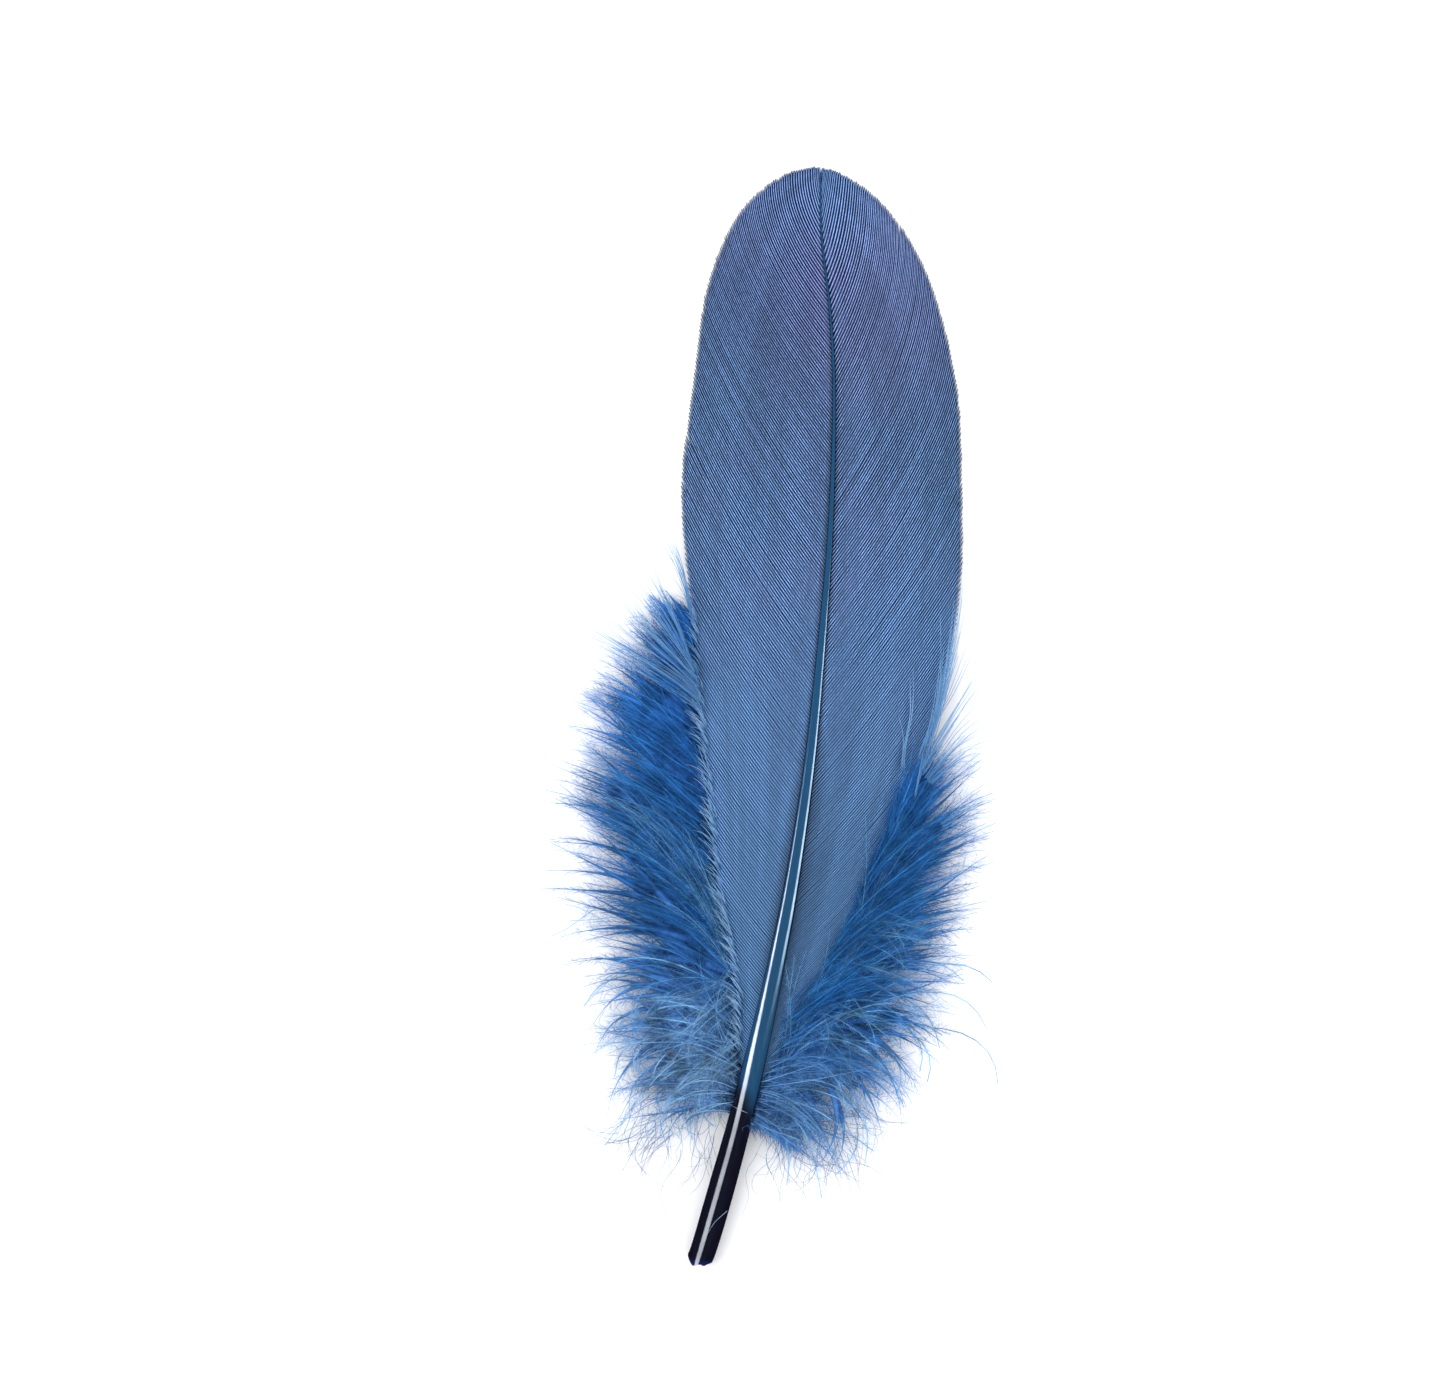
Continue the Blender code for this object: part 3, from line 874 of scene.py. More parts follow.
# %% [markdown]
# ## The down
# Low on the feather the barbs lose their hooks where they leave the vane. Each goes on
# as a plume: a limp thread with a long silky fringe that points every way. They sweep
# out and up at the top, and curl over and down at the foot. Cloth or hair simulation
# would tangle them by chance, and hair isn't kept as mesh, so each plume is laid by rule:
# where it starts, how its heading turns, how long it is, and how it rises and falls. It
# ends within the measured outline of the down, and the lower it starts, the more its
# heading strays from the rule.

# %% Rules for the plumes
DOWN_TOP = {LEFT: 103.0, RIGHT: 78.0}
DOWN_LOW = {LEFT: 25.5, RIGHT: 24.0}
# By order from the foot up: share, first heading, last heading in degrees, length
PLUME_RULES = {
    LEFT: np.array([(0.0, 78, 160, 22), (0.06, 62, 142, 28), (0.12, 58, 136, 31), (0.2, 56, 128, 33),
                    (0.3, 50, 104, 38), (0.45, 48, 90, 41), (0.6, 52, 84, 40), (0.75, 52, 78, 33),
                    (0.88, 42, 66, 23), (1.0, 28, 46, 9)], float),
    RIGHT: np.array([(0.0, 118, 152, 18), (0.06, 92, 150, 21), (0.12, 64, 148, 26), (0.2, 52, 138, 32),
                     (0.3, 46, 118, 37), (0.45, 40, 96, 39), (0.6, 32, 76, 36), (0.75, 24, 58, 29),
                     (0.88, 16, 40, 20), (1.0, 10, 24, 11)], float),
}
print("plumes start between", DOWN_LOW, "and", DOWN_TOP, "mm above the quill's end")

# %% [markdown]
# A plume is walked from its start in small steps, and its heading turns on the way from
# the first to the last of its rule. The walk stops where it leaves the outline. Plumes
# beside each other swing together a little, so that they gather in tufts.

# %% Lay the plumes
PLUME_POINTS = 15
PATH_STEPS = 60
# How far inside the vane's edge a plume may start, upon it at the foot and higher up, and under it
INSET_LOW, INSET_HIGH, INSET_UNDER = 4.5, 0.8, 0.35
# A plume starts this far below or above the sheet of the vane, and ends between two heights
BELOW_SHEET, ABOVE_SHEET = 0.45, 0.3
END_HEIGHTS = 0.4, 2.2
LOWEST_PLUME = 0.35
# Plumes beside each other swing together: by how many degrees, and how often from foot to top
SWINGS = ((5, 29), (4, 61))


def walk(side, x, y, heading, step):
    """The x and the y of lines that start beside given places and follow their headings outwards."""
    return (x[:, None] + side * np.cumsum(np.sin(heading) * step, axis=1),
            y[:, None] + np.cumsum(np.cos(heading) * step, axis=1))


def off_the_down(side, x, y):
    """True where a place is past the outline of the measured down."""
    past_rim = side * x > side * down_outer[side](y)
    past_heel = (side * x < side * down_inner[side](y)) & (y < QUILL_END + DOWN_LOW[side])
    return past_rim | past_heel | (y < down_foot[side])


def plume_starts(side, order, tucked):
    """Where down begins: beside the quill, then along the vane's edge, under it or upon it."""
    y = QUILL_END + DOWN_LOW[side] + order * (DOWN_TOP[side] - DOWN_LOW[side])
    by_quill = y < QUILL_END + VANE_FOOT[side]
    reach = INSET_LOW + (INSET_HIGH - INSET_LOW) * ramp(order, 0.22, 0.45)
    if tucked:
        inset = rng.uniform(0, INSET_UNDER, len(y))
    else:
        inset = rng.uniform(0.05, 1.0, len(y)) * reach * np.clip(vane_width(side, y) / 8, 0, 1)
    x = np.where(by_quill, shaft_x(y) + side * 0.8 * shaft_r(y), edge_x[side](y) - side * inset)
    from_sheet = -BELOW_SHEET if tucked else ABOVE_SHEET
    height = np.where(by_quill, shaft_z(y) - 0.3, vane_height(side, x, y) + from_sheet)
    return x, y, height


def lay_plumes(side, count, tucked, lift, reach, stray):
    """Middle lines of the plumes: (plume, point, 3). lift: how far they arch up; reach: share of the way out;
    stray: how far headings differ, in degrees."""
    order = (np.arange(count) + rng.uniform(0, 1, count)) / count
    x, y, height = plume_starts(side, order, tucked)
    rules = PLUME_RULES[side]
    first, last, length = (np.interp(order, rules[:, 0], rules[:, k])[:, None] for k in (1, 2, 3))
    starts = rng.uniform(*ANYWHERE, 3)
    swing = sum(size * np.sin(order * often + start) for (size, often), start in zip(SWINGS, starts))
    wild = 1 - ramp(order, 0.1, 0.5)[:, None]
    curl = np.clip(rng.normal(0.8, 0.2 + 0.5 * wild, (count, 1)), -0.3, 1.9)
    last = first + (last - first) * curl + rng.standard_t(4, (count, 1)) * (stray + 13 * wild)
    last = last + swing[:, None]
    first = first + swing[:, None] + rng.standard_t(4, (count, 1)) * (stray * 0.6 + 3 * wild)
    length = length * rng.uniform(0.75, 1.12, (count, 1))
    along = np.linspace(0, 1, PATH_STEPS)[None]
    beat, shift = rng.uniform(4, 12, (count, 1)), rng.uniform(*ANYWHERE, (count, 1))
    wave = rng.normal(0, 1.3 * stray + 8 * wild, (count, 1)) * (np.sin(along * beat + shift) - np.sin(shift))
    heading = np.radians(first + (last - first) * along ** 0.8 + wave * along)
    step = length / (PATH_STEPS - 1)
    path_x, path_y = walk(side, x, y, heading, step)
    path_x, path_y = path_x - path_x[:, :1] + x[:, None], path_y - path_y[:, :1] + y[:, None]
    off = off_the_down(side, path_x, path_y)
    off[:, :6] = False
    last_step = np.where(off.any(axis=1), off.argmax(axis=1), PATH_STEPS - 1)
    last_step = last_step * rng.uniform(*reach, count)
    at = np.linspace(0, 1, PLUME_POINTS)[None] * last_step[:, None]
    lower = np.minimum(at.astype(int), PATH_STEPS - 2)
    share = at - lower
    pick = np.arange(count)[:, None]
    lines = [path[pick, lower] * (1 - share) + path[pick, lower + 1] * share for path in (path_x, path_y)]
    along = np.linspace(0, 1, PLUME_POINTS)[None]
    arch = rng.uniform(*lift, (count, 1)) * np.sin(math.pi * along ** 0.8)
    z = height[:, None] * (1 - along) + rng.uniform(*END_HEIGHTS, (count, 1)) * along + arch
    return np.stack(lines + [np.maximum(z, LOWEST_PLUME)], axis=2), order


# %% [markdown]
# ### Fringes
# The fringe of a plume is hundreds of barbules, long near the middle, short at the
# tip. Neighbours swing together, which makes the soft tufts one sees, so their
# angles follow slow waves along the plume and only a little of each is its own. None
# of them may poke through the vane: on the left all stay under it, on the right those
# that start upon it stay above. The plumes that lie deep are seen only as a ground for
# the others, so their threads are drawn out to broad webs and their barbules are slivers.

# %% Dress the plumes
CLEARANCE = 0.18
LOWEST_FRINGE = 0.06
# Shares of a plume's strip in the map: its thread, then two fringes
THREAD_STRIP, FRINGE_START, FRINGE_STEP, FRINGE_STRIP = 0.08, 0.1, 0.45, 0.42
# Needles stand off the thread by so many degrees and differ in fullness from plume to plume
OPENNESS, FULLNESS = (16, 34), (0.6, 1.15)
# They roll round the thread by this many degrees, in waves and each for itself
ROLLING = 34
LAST_NEEDLE, FEWEST_NEEDLES = 0.96, 12


def off_the_vane(side, points, upon):
    """Moves points that would pass through the vane just above or below it."""
    x, y, z = points[..., 0], points[..., 1], points[..., 2]
    over_vane = (side * x < side * edge_x[side](y)) & (y > QUILL_END + VANE_FOOT[side])
    sheet = vane_height(side, x, y)
    limited = np.maximum(z, sheet + CLEARANCE) if upon else np.minimum(z, sheet - CLEARANCE)
    points[..., 2] = np.maximum(np.where(over_vane, limited, z), LOWEST_FRINGE)
    return points


def dress(side, plumes, order, upon, needles, thick, fringe, thread, web, tangle, bare):
    """The plumes as strands: a thread each, and two fringes that share a number of needles.
    thick and fringe: half the thickness and the length of a needle; thread and web: half the height
    and width of a thread; tangle: by how many degrees more than usual needles differ; bare: the share
    of a plume that has none."""
    strands, count = Strands(), len(plumes)
    along = np.linspace(0, 1, PLUME_POINTS)[None]
    taper = (1 - 0.75 * along) * rng.uniform(0.7, 1.2, (count, 1))
    broad = thread + (web - thread) * ramp(along, -0.2, 0.25) * ramp(along, 0.92, 0.4)
    broad = np.where(order[:, None] < 0.12, thread + (broad - thread) * 0.5, broad)
    plumes = off_the_vane(side, plumes, upon)
    ups = np.broadcast_to(UP, plumes.shape)
    strands.add_strands(plumes, ups, broad * taper ** 0.5, thread * taper, THREE_SIDED, THREAD_STRIP)
    run = along_line(plumes)[:, -1]
    openness = rng.uniform(*OPENNESS, count) + 12 * (1 - ramp(order, 0.1, 0.4))
    fullness = rng.uniform(*FULLNESS, count) * (1 - 0.5 * ramp(order, 0.85, 1.0))
    each = np.maximum(np.round(run / run.sum() * needles / 2).astype(int), FEWEST_NEEDLES)
    which = np.repeat(np.arange(count), each)
    number = np.arange(len(which)) - np.repeat(np.cumsum(each) - each, each)
    for row, way in enumerate((-1.0, 1.0)):
        evenly = (number + rng.uniform(0.1, 0.9, len(which))) / each[which]
        at = bare + (LAST_NEEDLE - bare) * (1 - (1 - evenly) ** 0.8)
        span = at * (PLUME_POINTS - 1)
        lower = np.minimum(span.astype(int), PLUME_POINTS - 2)
        share = (span - lower)[:, None]
        start, end = plumes[which, lower], plumes[which, lower + 1]
        base = start * (1 - share) + end * share
        ahead = unit(end - start)
        across, over = crossways(ahead, UP)
        phase = rng.uniform(*ANYWHERE, (count, 4))[which]
        mm = at * run[which]
        slow = np.sin(mm * 1.7 + phase[:, 0]) + 0.6 * np.sin(mm * 3.9 + phase[:, 1])
        wild = 1 - 0.7 * np.clip(order[which] / 0.4, 0, 1)
        roll = ROLLING * np.sin(mm * 0.9 + phase[:, 2]) + rng.normal(0, ROLLING, len(at))
        roll = np.radians(roll)
        spread = openness[which] + 14 * wild + (6 + 6 * wild) * slow
        spread = spread + rng.normal(0, 7 + tangle, len(at)) + 10 * at ** 2
        size = fringe * fullness[which] * np.minimum(1, 0.35 + 3 * at) * (1 - 0.35 * at ** 2)
        size = size * (1 + 0.12 * slow) * rng.uniform(0.45, 1.3, len(at))
        outward = way * across * np.cos(roll)[:, None] + over * np.sin(roll)[:, None]
        curl = rng.normal(8 + tangle, 16 + 2 * tangle, len(at)) + 12 * np.sin(mm * 0.8 + phase[:, 3])
        points = [base]
        for angle in np.radians([spread, spread - curl]):
            leave = ahead * np.cos(angle)[:, None] + outward * np.sin(angle)[:, None]
            points.append(off_the_vane(side, points[-1] + leave * (size * 0.5)[:, None], upon))
        first_v = (which + FRINGE_START + FRINGE_STEP * row) / count
        width = thick * rng.uniform(0.7, 1.25, len(at)) * (1 - 0.55 * at)
        mapped = (np.clip(at, 0.01, 0.99), first_v, FRINGE_STRIP / count, 0.006)
        if web > thread:
            strands.add_slivers(points[0], points[2], width, *mapped)
        else:
            strands.add_needles(*points, width, *mapped)
    return strands


# %% [markdown]
# ### The down's finish
# The down drank more dye than the vane and is a deeper blue, but thin barbules let
# light through and look paler towards their ends, and some plumes are paler all over.
# Low down the dye ran out and left a pale blue. Deep between the plumes little light
# gets through, so roots and hollows are painted darker: painted shade. The strip of the
# map says how far along a barbule a point is.

# %% Down material
TIP_TINT, FOOT_TINT = (0.10, 0.35, 0.75, 1), (0.42, 0.70, 0.95, 1)
# y where the pale blue of the foot starts, and how far it goes
FOOT = {LEFT: (-0.034, 1.0), RIGHT: (-0.045, 0.6)}


def down_material(name, side, plumes, deep, fair, fair_from, thread_pale, foot_pale, root_light):
    """deep and fair: its two blues. fair_from: share of plumes that stay deep. thread_pale and
    foot_pale: how pale threads and the foot get. root_light: how light the painted shade leaves roots and
    hollows."""
    material, tree, shader = new_material(name, 0.7, Specular_IOR_Level=0.05)
    place = add(tree, "TexCoord").outputs["Object"]
    up = part(tree, place)
    along, plume, within = strand_map(tree, plumes)
    own = chance(tree, plume)
    tufts = noise(tree, stretched(tree, plume, 3.7, along, 38.0))
    fringe = calc(tree, "DIVIDE", calc(tree, "SUBTRACT", within, FRINGE_START), FRINGE_STEP)
    thread = calc(tree, "LESS_THAN", within, THREAD_STRIP + 0.01)
    thread_share = remap(tree, own, 0.2, 0.9, 0.25 * thread_pale, thread_pale)
    pale = plus(tree, remap(tree, calc(tree, "FRACT", fringe), 0.1, 1.0, 0.0, 0.35),
                remap(tree, own, fair_from, 1.0, 0.0, 0.65), remap(tree, tufts, 0.5, 0.7, 0.0, 0.6),
                remap(tree, along, 0.45, 1.0, 0.0, 0.7))
    pale = plus(tree, times(tree, pale, 0.8), times(tree, thread, thread_share))
    blues = [use(tree, dye_group, Place=place, Blue=(r, g, b, 1),
                 Violet=(r * 1.2, g * 0.92, b * 0.97, 1), Pale=(r * 1.35, g * 1.25, b * 1.12, 1),
                 Cloud_Size=0.012)["Colour"] for r, g, b in (deep, fair)]
    colour = blend(tree, pale, *blues)
    foot_start, foot_share = FOOT[side]
    at_foot = remap(tree, up, foot_start, -0.063, 0.0, foot_share * foot_pale, smooth=True)
    colour = blend(tree, times(tree, at_foot, remap(tree, pale, 0.1, 0.8, 0.2, 1.0)), colour, FOOT_TINT)
    light = times(tree, remap(tree, up, -0.018, -0.004, 0.95, 1.2),
                  remap(tree, up, -0.036, -0.046, 1.0, 1.14))
    # Painted shade: roots and hollows of the down are darkened down to root_light
    if root_light < 1:
        hollows = noise(tree, place, 300.0)
        light = times(tree, light, remap(tree, along, 0.0, 0.22, root_light, 1.0),
                      remap(tree, hollows, 0.38, 0.60, root_light, 1.0, smooth=True))
    at_tip = remap(tree, along, 0.6, 1.0, 0.0, 0.6)
    plug(tree, shader.inputs["Base Color"], blend(tree, at_tip, shaded(tree, colour, light), TIP_TINT))
    return material


# How plumes are laid, how they are dressed, and how they are finished
LAYERS = {
    "under": (320, dict(lift=(-0.6, 1.2), reach=(0.55, 0.97), stray=5.0),
              dict(needles=30000, thick=0.048, fringe=3.1, thread=0.07, web=0.9, bare=0.0),
              dict(deep=(0.022, 0.096, 0.365), fair=(0.035, 0.19, 0.57), fair_from=0.6, thread_pale=0.0,
                   foot_pale=0.25, root_light=0.55)),
    "over": (150, dict(lift=(0.3, 3.4), reach=(0.6, 1.0), stray=8.0),
             dict(needles=21500, thick=0.025, fringe=3.7, thread=0.075, web=0.075, bare=0.06),
             dict(deep=(0.013, 0.106, 0.41), fair=(0.050, 0.31, 0.76), fair_from=0.4, thread_pale=0.8,
                  foot_pale=0.85, root_light=0.78)),
}
for side, word in BOTH_SIDES:
    for layer, (plumes, laying, dressing, finish) in LAYERS.items():
        upon = side == RIGHT and layer == "over"
        lines, order = lay_plumes(side, plumes, not upon, **laying)
        strands = dress(side, lines, order, upon, tangle=6.0, **dressing)
        name = f"{word}_down_{layer}"
        material = down_material(f"{word} down {layer}", side, plumes, **finish)
        add_piece(name, strands.mesh(name), material, "down", "down_" + word)

# %% [markdown]
# ### Curls, wisps and crossings
# The lowest plumes are the limpest. They curl over and hang below the others, each in
# its own bow. Higher up thin wisps stand off along the vane, and on top lie stray plumes
# that cross the rest. No rule of heading and length gives these, so the bows themselves
# are drawn: guide lines from the feather outwards, as places in the picture, with plumes
# laid between them.

# %% Guides
CURL_GUIDES = {
    LEFT: [((736, 985), (702, 962), (664, 950), (628, 952), (600, 968), (592, 990)),
           ((738, 1005), (702, 984), (666, 972), (633, 972), (606, 984), (598, 1006)),
           ((738, 1021), (713, 1002), (688, 992), (653, 991), (620, 998), (603, 1022)),
           ((739, 1029), (700, 1010), (655, 1004), (618, 1012), (618, 1032), (662, 1037)),
           ((735, 1048), (708, 1039), (680, 1037), (650, 1044), (624, 1060), (606, 1088)),
           ((735, 1059), (708, 1046), (680, 1049), (655, 1066), (625, 1094), (596, 1122)),
           ((734, 1068), (708, 1057), (686, 1062), (666, 1084), (653, 1106), (640, 1130)),
           ((733, 1080), (714, 1077), (696, 1086), (686, 1104), (688, 1118), (692, 1132)),
           ((731, 1094), (722, 1104), (712, 1122), (706, 1144))],
    RIGHT: [((803, 1040), (839, 1000), (881, 965), (923, 948), (950, 948), (972, 958)),
            ((793, 1058), (828, 1022), (881, 993), (930, 979), (962, 990), (975, 1012)),
            ((780, 1072), (810, 1036), (846, 1018), (884, 1014), (915, 1034), (930, 1068)),
            ((775, 1080), (810, 1042), (846, 1043), (878, 1066), (894, 1092), (902, 1118)),
            ((764, 1092), (786, 1080), (828, 1074), (860, 1088), (880, 1110), (888, 1140)),
            ((760, 1102), (782, 1101), (806, 1114), (822, 1138), (832, 1160), (838, 1176)),
            ((758, 1109), (772, 1117), (786, 1134), (795, 1152), (800, 1166), (804, 1180))],
}
WISP_GUIDES = {
    LEFT: [((722, 900), (700, 868), (672, 832), (640, 806), (604, 786)),
           ((730, 960), (708, 905), (680, 862), (652, 822), (618, 790)),
           ((738, 1000), (716, 950), (690, 905), (660, 868), (628, 838))],
    RIGHT: [((782, 1062), (788, 1020), (797, 985), (808, 952)),
            ((792, 1050), (806, 1000), (822, 965), (842, 930)),
            ((812, 1020), (836, 975), (856, 935), (872, 900)),
            ((838, 985), (858, 938), (872, 900), (884, 862)),
            ((862, 925), (876, 880), (892, 838), (906, 800)),
            ((880, 880), (893, 835), (908, 790), (920, 750))],
}
CROSS_GUIDES = {
    LEFT: [((728, 965), (700, 992), (672, 1022), (646, 1060)),
           ((735, 1000), (704, 1022), (674, 1054), (652, 1096)),
           ((738, 1036), (712, 1054), (686, 1082), (664, 1118)),
           ((740, 1072), (716, 1086), (692, 1094), (668, 1090))],
    RIGHT: [((862, 905), (884, 902), (912, 912), (940, 930)),
            ((846, 935), (878, 940), (915, 954), (945, 978)),
            ((832, 968), (868, 982), (902, 1004), (928, 1034)),
            ((818, 1002), (848, 1018), (874, 1044), (892, 1078)),
            ((800, 1028), (824, 1050), (842, 1078), (852, 1110))],
}
print("curls follow", [len(CURL_GUIDES[side]) for side in (LEFT, RIGHT)], "guides")

# %% [markdown]
# A guide is smoothed to a soft curve first. A plume between two guides takes its share
# of both, and is then turned and bent a little, so that no two run side by side.

# %% Lay the curls, wisps and crossings
# Guides, plumes, bend, heights at the start and the end, arch, and how they are dressed
BOWS = {
    "curls": (CURL_GUIDES, 29, 10.0, (2.8, 1.4), 2.8,
              dict(needles=8700, fringe=1.6, thread=0.13, tangle=8.0, bare=0.15)),
    "wisps": (WISP_GUIDES, 24, 5.0, (3.6, 4.2), 2.0,
              dict(needles=3800, fringe=1.9, thread=0.045, tangle=14.0, bare=0.0)),
    "crossings": (CROSS_GUIDES, 26, 12.0, (4.6, 3.0), 1.6,
                  dict(needles=3600, fringe=2.2, thread=0.05, tangle=18.0, bare=0.0)),
}
BOW_NEEDLE = 0.027
BOW_FINISH = dict(deep=(0.015, 0.126, 0.41), fair=(0.22, 0.56, 0.96), fair_from=0.15, thread_pale=1.0,
                  foot_pale=1.0)
# How light the painted shade leaves roots and hollows, for each kind
ROOT_LIGHT = {"curls": 0.42, "wisps": 0.8, "crossings": 0.8}
# How far a line strays from its guides: at its start, and at its end
STRAY_START, STRAY_END = 1.2, 4.0


def smooth(points, count):
    """A soft curve through the neighbourhood of a few points."""
    points = np.asarray(points, float)
    for _ in range(3):
        near, far = points[:-1] * 0.75 + points[1:] * 0.25, points[:-1] * 0.25 + points[1:] * 0.75
        between = np.stack([near, far], axis=1).reshape(-1, points.shape[1])
        points = np.concatenate([points[:1], between, points[-1:]])
    return resampled(points, count)


def turned_steps(lines, bend):
    """The way along each line from its start, with every line turned and bent by its own angle."""
    steps, count = np.diff(lines, axis=1), len(lines)
    along = np.linspace(0, 1, steps.shape[1])[None]
    angle = np.radians(rng.normal(0, bend, (count, 1)) + rng.normal(0, 3 * bend, (count, 1)) * along)
    ahead, aside = steps[:, :, 0], steps[:, :, 1]
    turned = np.stack([ahead * np.cos(angle) - aside * np.sin(angle),
                       ahead * np.sin(angle) + aside * np.cos(angle)], axis=2)
    return np.concatenate([np.zeros((count, 1, 2)), np.cumsum(turned, axis=1)], axis=1)


def fan(guides, count, steps, heights, arch=0.0, bend=0.0):
    """Lines between guide lines, a little uneven in place, length and, by bend in degrees, in heading."""
    guides = np.array([smooth(guide, steps) for guide in guides])
    at = np.sort(rng.uniform(0, len(guides) - 1, count))
    lower = np.minimum(at.astype(int), len(guides) - 2)
    share = (at - lower)[:, None, None]
    lines = guides[lower] * (1 - share) + guides[lower + 1] * share
    along = np.linspace(0, 1, steps)[None, :, None]
    stray = rng.normal(0, STRAY_END, (count, 1, 2)) * along ** 1.5
    stray = stray + rng.normal(0, STRAY_START, (count, 1, 2))
    lines = lines[:, :1] + turned_steps(lines, bend) * rng.uniform(0.65, 1.15, (count, 1, 1)) + stray
    height = heights[0] + (heights[1] - heights[0]) * along[:, :, 0] + rng.uniform(-0.3, 0.5, (count, 1))
    height = height + arch * rng.uniform(0.2, 1.0, (count, 1)) * np.sin(math.pi * along[:, :, 0])
    return np.concatenate([seen_at(lines, height), height[:, :, None]], axis=2)


for side, word in BOTH_SIDES:
    for kind, (guides, plumes, bend, heights, arch, dressing) in BOWS.items():
        lines = fan(guides[side], plumes, PLUME_POINTS, heights, arch, bend)
        strands = dress(side, lines, np.full(plumes, 0.5), side == RIGHT, thick=BOW_NEEDLE,
                        web=dressing["thread"], **dressing)
        name = f"{word}_{kind}"
        material = down_material(f"{word} {kind}", side, plumes, root_light=ROOT_LIGHT[kind], **BOW_FINISH)
        add_piece(name, strands.mesh(name), material, "down", "down_" + word)

# %% [markdown]
# ## Loose strands
# Where the down begins, single barb ends stand off the edge of the vane, pale where they
# are thin. They are too few and too particular for a rule, so each fan of them is drawn
# between guide lines, given as places in the picture, from the feather outwards. The
# short hooks all along the left edge are many and alike, so they do follow a rule.

# %% Draw the loose strands
STRAND_POINTS = 20
HOOK_POINTS = 9
# Neighbours share one of this many measures of paleness
TINTS = 97
# How many strands fill a fan, heights at their start and end, and the guides
FANS = [
    (60, (5.6, 3.0),
     ((688, 655), (680, 620), (664, 585), (652, 556)), ((692, 665), (672, 628), (655, 600), (640, 578)),
     ((696, 680), (668, 650), (645, 628), (628, 603)), ((699, 695), (668, 668), (640, 652), (600, 622)),
     ((702, 712), (668, 690), (632, 668), (588, 650))),
    (16, (5.0, 3.4),
     ((690, 600), (684, 575), (676, 548), (668, 532)), ((693, 625), (686, 592), (674, 560), (662, 545))),
    (44, (5.6, 3.6),
     ((925, 748), (938, 715), (948, 668), (958, 610)), ((920, 755), (932, 725), (944, 690), (955, 640)),
     ((918, 760), (932, 725), (950, 700), (966, 665)), ((922, 768), (940, 738), (960, 705), (974, 684)),
     ((926, 775), (945, 748), (962, 722), (976, 708)), ((930, 785), (950, 768), (975, 752), (1005, 757))),
    (6, (5.2, 5.0),
     ((905, 768), (904, 745), (911, 715), (910, 680)), ((901, 770), (903, 748), (910, 722), (909, 690))),
    (10, (4.6, 2.6),
     ((944, 822), (955, 812), (970, 800), (985, 796)), ((940, 830), (956, 822), (975, 818), (996, 816))),
    (15, (5.4, 5.0),
     ((914, 800), (924, 745), (940, 690), (951, 640)), ((922, 772), (938, 720), (950, 670), (958, 600)),
     ((928, 748), (944, 692), (955, 632), (962, 560))),
]
# Hooks, and between which heights above the quill's end they grow
HOOKS, HOOKS_FROM, HOOKS_TO = 220, 34, 106


def loose_strands(name, title, groups, thickness, root_tint, end_tint):
    """A piece of loose strands, thinner towards their ends."""
    lines = np.concatenate(groups)
    along = np.linspace(0, 1, lines.shape[1])[None]
    taper = thickness * (1 - 0.7 * along) * rng.uniform(0.75, 1.2, (len(lines), 1))
    strands = Strands()
    strands.add_strands(lines, np.broadcast_to(UP, lines.shape), taper, taper, THREE_SIDED)
    add_piece(name, strands.mesh(name), strand_material(title, root_tint, end_tint), "down")


def strand_material(name, root_tint, end_tint):
    """Strands change colour from their root to their end, each in its own measure."""
    material, tree, shader = new_material(name, 0.5, Specular_IOR_Level=0.3)
    along, strand, _ = strand_map(tree, TINTS)
    share = times(tree, remap(tree, along, 0.0, 0.6), remap(tree, chance(tree, strand), 0.0, 1.0, 0.6, 1.0))
    plug(tree, shader.inputs["Base Color"], blend(tree, share, root_tint, end_tint))
    return material


def rim_hooks(count, low, high):
    """Barb ends that reach past the left edge of the vane and bend outwards, between two heights."""
    y = QUILL_END + np.sort(rng.uniform(low, high, count))
    along = np.linspace(0, 1, HOOK_POINTS)[None]
    heading = np.radians(rng.normal(27, 6, (count, 1)) + rng.normal(34, 14, (count, 1)) * along)
    step = rng.uniform(2.0, 5.0, (count, 1)) / (HOOK_POINTS - 1)
    x, y = walk(LEFT, edge_x[LEFT](y) + rng.uniform(0.2, 1.1, count), y, heading, step)
    z = edge_z[LEFT](y) + 0.4 + 3.0 * along * (1.15 - along) + rng.uniform(0, 0.3, (count, 1))
    return np.stack([x, y, z], axis=2)


fans = [fan(guides, count, STRAND_POINTS, heights) for count, heights, *guides in FANS]
loose_strands("edge_strands", "pale strands", fans, 0.085, (0.07, 0.24, 0.52, 1), (0.24, 0.50, 0.80, 1))
hooks = rim_hooks(HOOKS, HOOKS_FROM, HOOKS_TO)
loose_strands("rim_hooks", "rim hooks", [hooks], 0.083, (0.12, 0.34, 0.62, 1), (0.40, 0.64, 0.90, 1))

# %% [markdown]
# ### Hairs at the foot and on the quill
# Below the down the last barbs are bare hairs, dark blue on the white surface. A thin
# skin rings the shaft where the quill begins, and one hair is stuck to the quill: both
# are laid on the shaft's own round surface.

# %% Draw the hairs
FOOT_HAIRS = 80
# Where they start: above the quill's end, and out from the middle of the shaft
HAIRS_UP, HAIRS_OUT = (19, 30), (3.5, 19.5)
# The skin, then the hair
ON_QUILL = [((731, 1105), (737, 1107), (745, 1111), (753, 1114)),
            ((727, 1211), (721, 1216), (714, 1222), (708, 1233))]


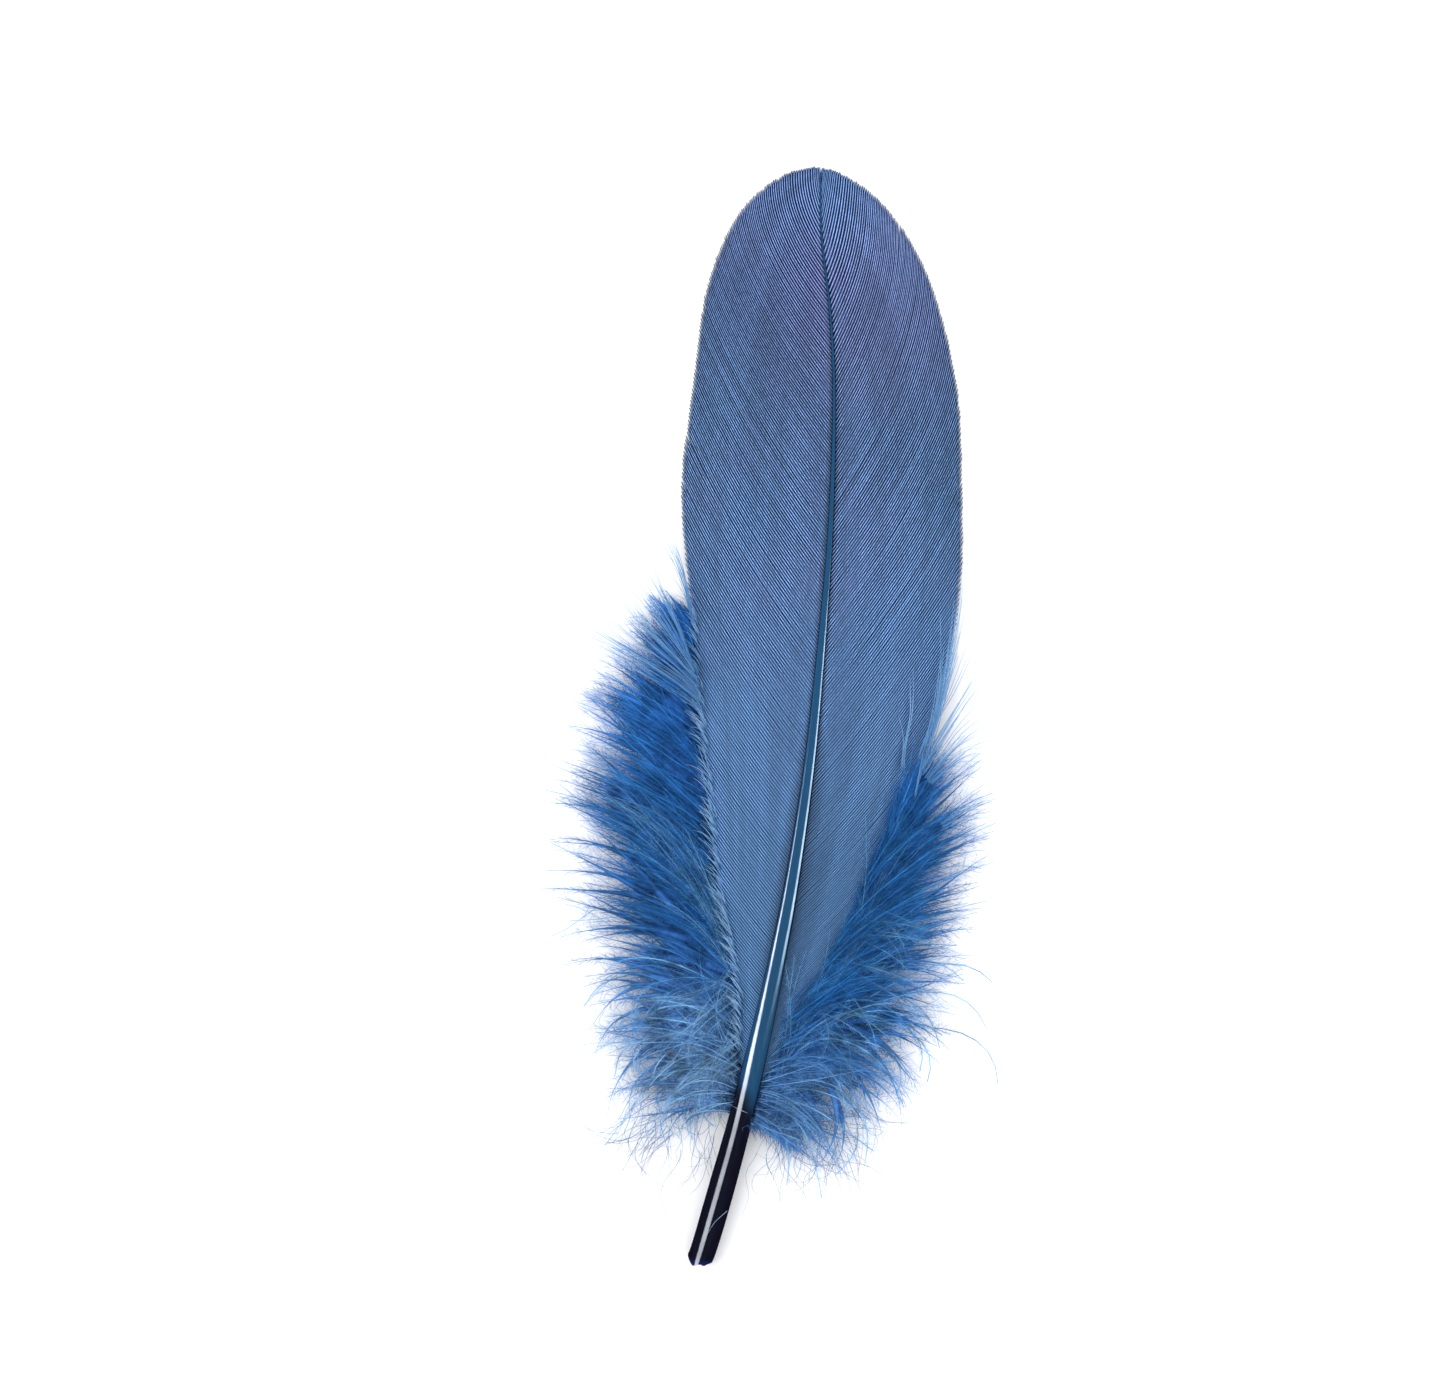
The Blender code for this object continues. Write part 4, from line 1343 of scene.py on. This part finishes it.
def foot_hairs(side, count):
    """Hairs from the lowest part of the down, outwards and down."""
    share = rng.uniform(0, 1, count)
    y = QUILL_END + np.interp(rng.uniform(0, 1, count), (0, 1), HAIRS_UP)
    x = shaft_x(y) + side * np.interp(share, (0, 1), HAIRS_OUT)
    heading = np.radians(np.interp(share, (0, 1), (180, 135)) + rng.normal(0, 16, count))[:, None]
    along = np.linspace(0, 1, STRAND_POINTS)[None]
    turn = np.radians(rng.normal(0, 60, (count, 1)))
    wave = np.radians(rng.normal(0, 22, (count, 1))) * np.sin(along * rng.uniform(4, 9, (count, 1)))
    angle = heading + turn * along + wave
    step = rng.uniform(5, 13, (count, 1)) / (STRAND_POINTS - 1)
    x, y = walk(side, x, y, angle, step)
    z = rng.uniform(1.0, 2.5, (count, 1)) * (1 - along) + rng.uniform(0.15, 1.0, (count, 1)) * along
    return np.stack([x, y, z], axis=2)


def on_shaft(pixels):
    """A line laid on the shaft's surface where it is seen in the picture."""
    flat = seen_at(smooth(pixels, STRAND_POINTS), np.full(STRAND_POINTS, 4.0))
    y = flat[:, 1]
    radius = shaft_r(y)
    out = np.clip(flat[:, 0] - shaft_x(y), -radius, radius)
    return np.stack([shaft_x(y) + out, y, shaft_z(y) + np.sqrt(radius ** 2 - out ** 2) + 0.03], axis=1)[None]


hairs = [foot_hairs(side, FOOT_HAIRS) for side in (LEFT, RIGHT)]
loose_strands("foot_hairs", "dark hairs", hairs, 0.045, (0.07, 0.24, 0.52, 1), (0.02, 0.07, 0.22, 1))
stuck = [on_shaft(pixels) for pixels in ON_QUILL]
loose_strands("quill_hairs", "stuck hairs", stuck, 0.09, (0.36, 0.46, 0.60, 1), (0.22, 0.32, 0.48, 1))
print("triangles in all:", all_triangles)

# %% [markdown]
# ## Surface, light and camera
# The feather lies on a plain white surface under wide soft light from the upper left. The
# quill is so glossy that it mirrors whatever surrounds it, so the wide lamps, the sky and
# the white surface are kept out of its reflections, and two lamps of their own draw its
# streaks: one on the left for the quill, one on the right for the shoulder of the rachis.

# %% Stage
bpy.ops.mesh.primitive_plane_add(size=3.0, location=(0, 0, 0))
floor = bpy.context.object
floor.name = "floor"
floor.visible_glossy = False
paper, tree, shader = new_material("white surface", 0.9, Specular_IOR_Level=0.1)
grain = noise(tree, add(tree, "TexCoord").outputs["Object"], 900.0, 2.0)
plug(tree, shader.inputs["Base Color"], blend(tree, grain, (0.90, 0.90, 0.91, 1), (0.93, 0.93, 0.935, 1)))
floor.data.materials.append(paper)


def add_lamp(name, place, aim, size, power, for_gloss=False, tint=(1.0, 1.0, 1.0)):
    """A rectangular soft lamp, size (across, along the feather), for reflections or for all but them."""
    light = bpy.data.lights.new(name, "AREA")
    light.shape, light.color = "RECTANGLE", tint
    light.size, light.size_y, light.energy = size[1], size[0], power
    lamp = bpy.data.objects.new(name, light)
    lamp.location = place
    away = lamp.location - mathutils.Vector(aim)
    lamp.rotation_euler = away.to_track_quat("Z", "Y").to_euler()
    lamp.visible_glossy, lamp.visible_diffuse = for_gloss, not for_gloss
    bpy.context.scene.collection.objects.link(lamp)


add_lamp("window light", (-0.62, 0.10, 0.85), (0, 0, 0), size=(0.8, 0.8), power=5.0)
add_lamp("fill light", (0.85, 0.05, 0.50), (0, 0, 0), size=(0.5, 0.5), power=1.5)
add_lamp("quill streak light", (-0.50, -0.24, 0.83), (0, -0.05, 0), size=(0.64, 0.34), power=19.4,
         for_gloss=True, tint=(0.83, 0.88, 1.0))
add_lamp("rachis streak light", (0.48, -0.03, 0.74), (0, 0, 0), size=(0.66, 0.365), power=17.4,
         for_gloss=True, tint=(0.62, 0.82, 1.0))
world = bpy.data.worlds.new("soft sky")
bpy.context.scene.world = world
world.use_nodes = True
world.cycles_visibility.glossy = False
sky = world.node_tree.nodes["Background"]
sky.inputs["Color"].default_value = (0.97, 0.98, 1.0, 1.0)
sky.inputs["Strength"].default_value = 1.12
bpy.context.scene.view_settings.view_transform = "Standard"
print("lamps:", [light.name for light in bpy.data.lights])

# %% Camera
camera_data = bpy.data.cameras.new("camera")
camera_data.sensor_width, camera_data.lens = SENSOR, LENS
camera_data.clip_start, camera_data.clip_end = 0.05, 10.0
camera = bpy.data.objects.new("camera", camera_data)
camera.location = (aim[0] * MM, aim[1] * MM, DISTANCE * MM)
camera.rotation_euler = (0.0, 0.0, ROLL)
bpy.context.scene.collection.objects.link(camera)
bpy.context.scene.camera = camera
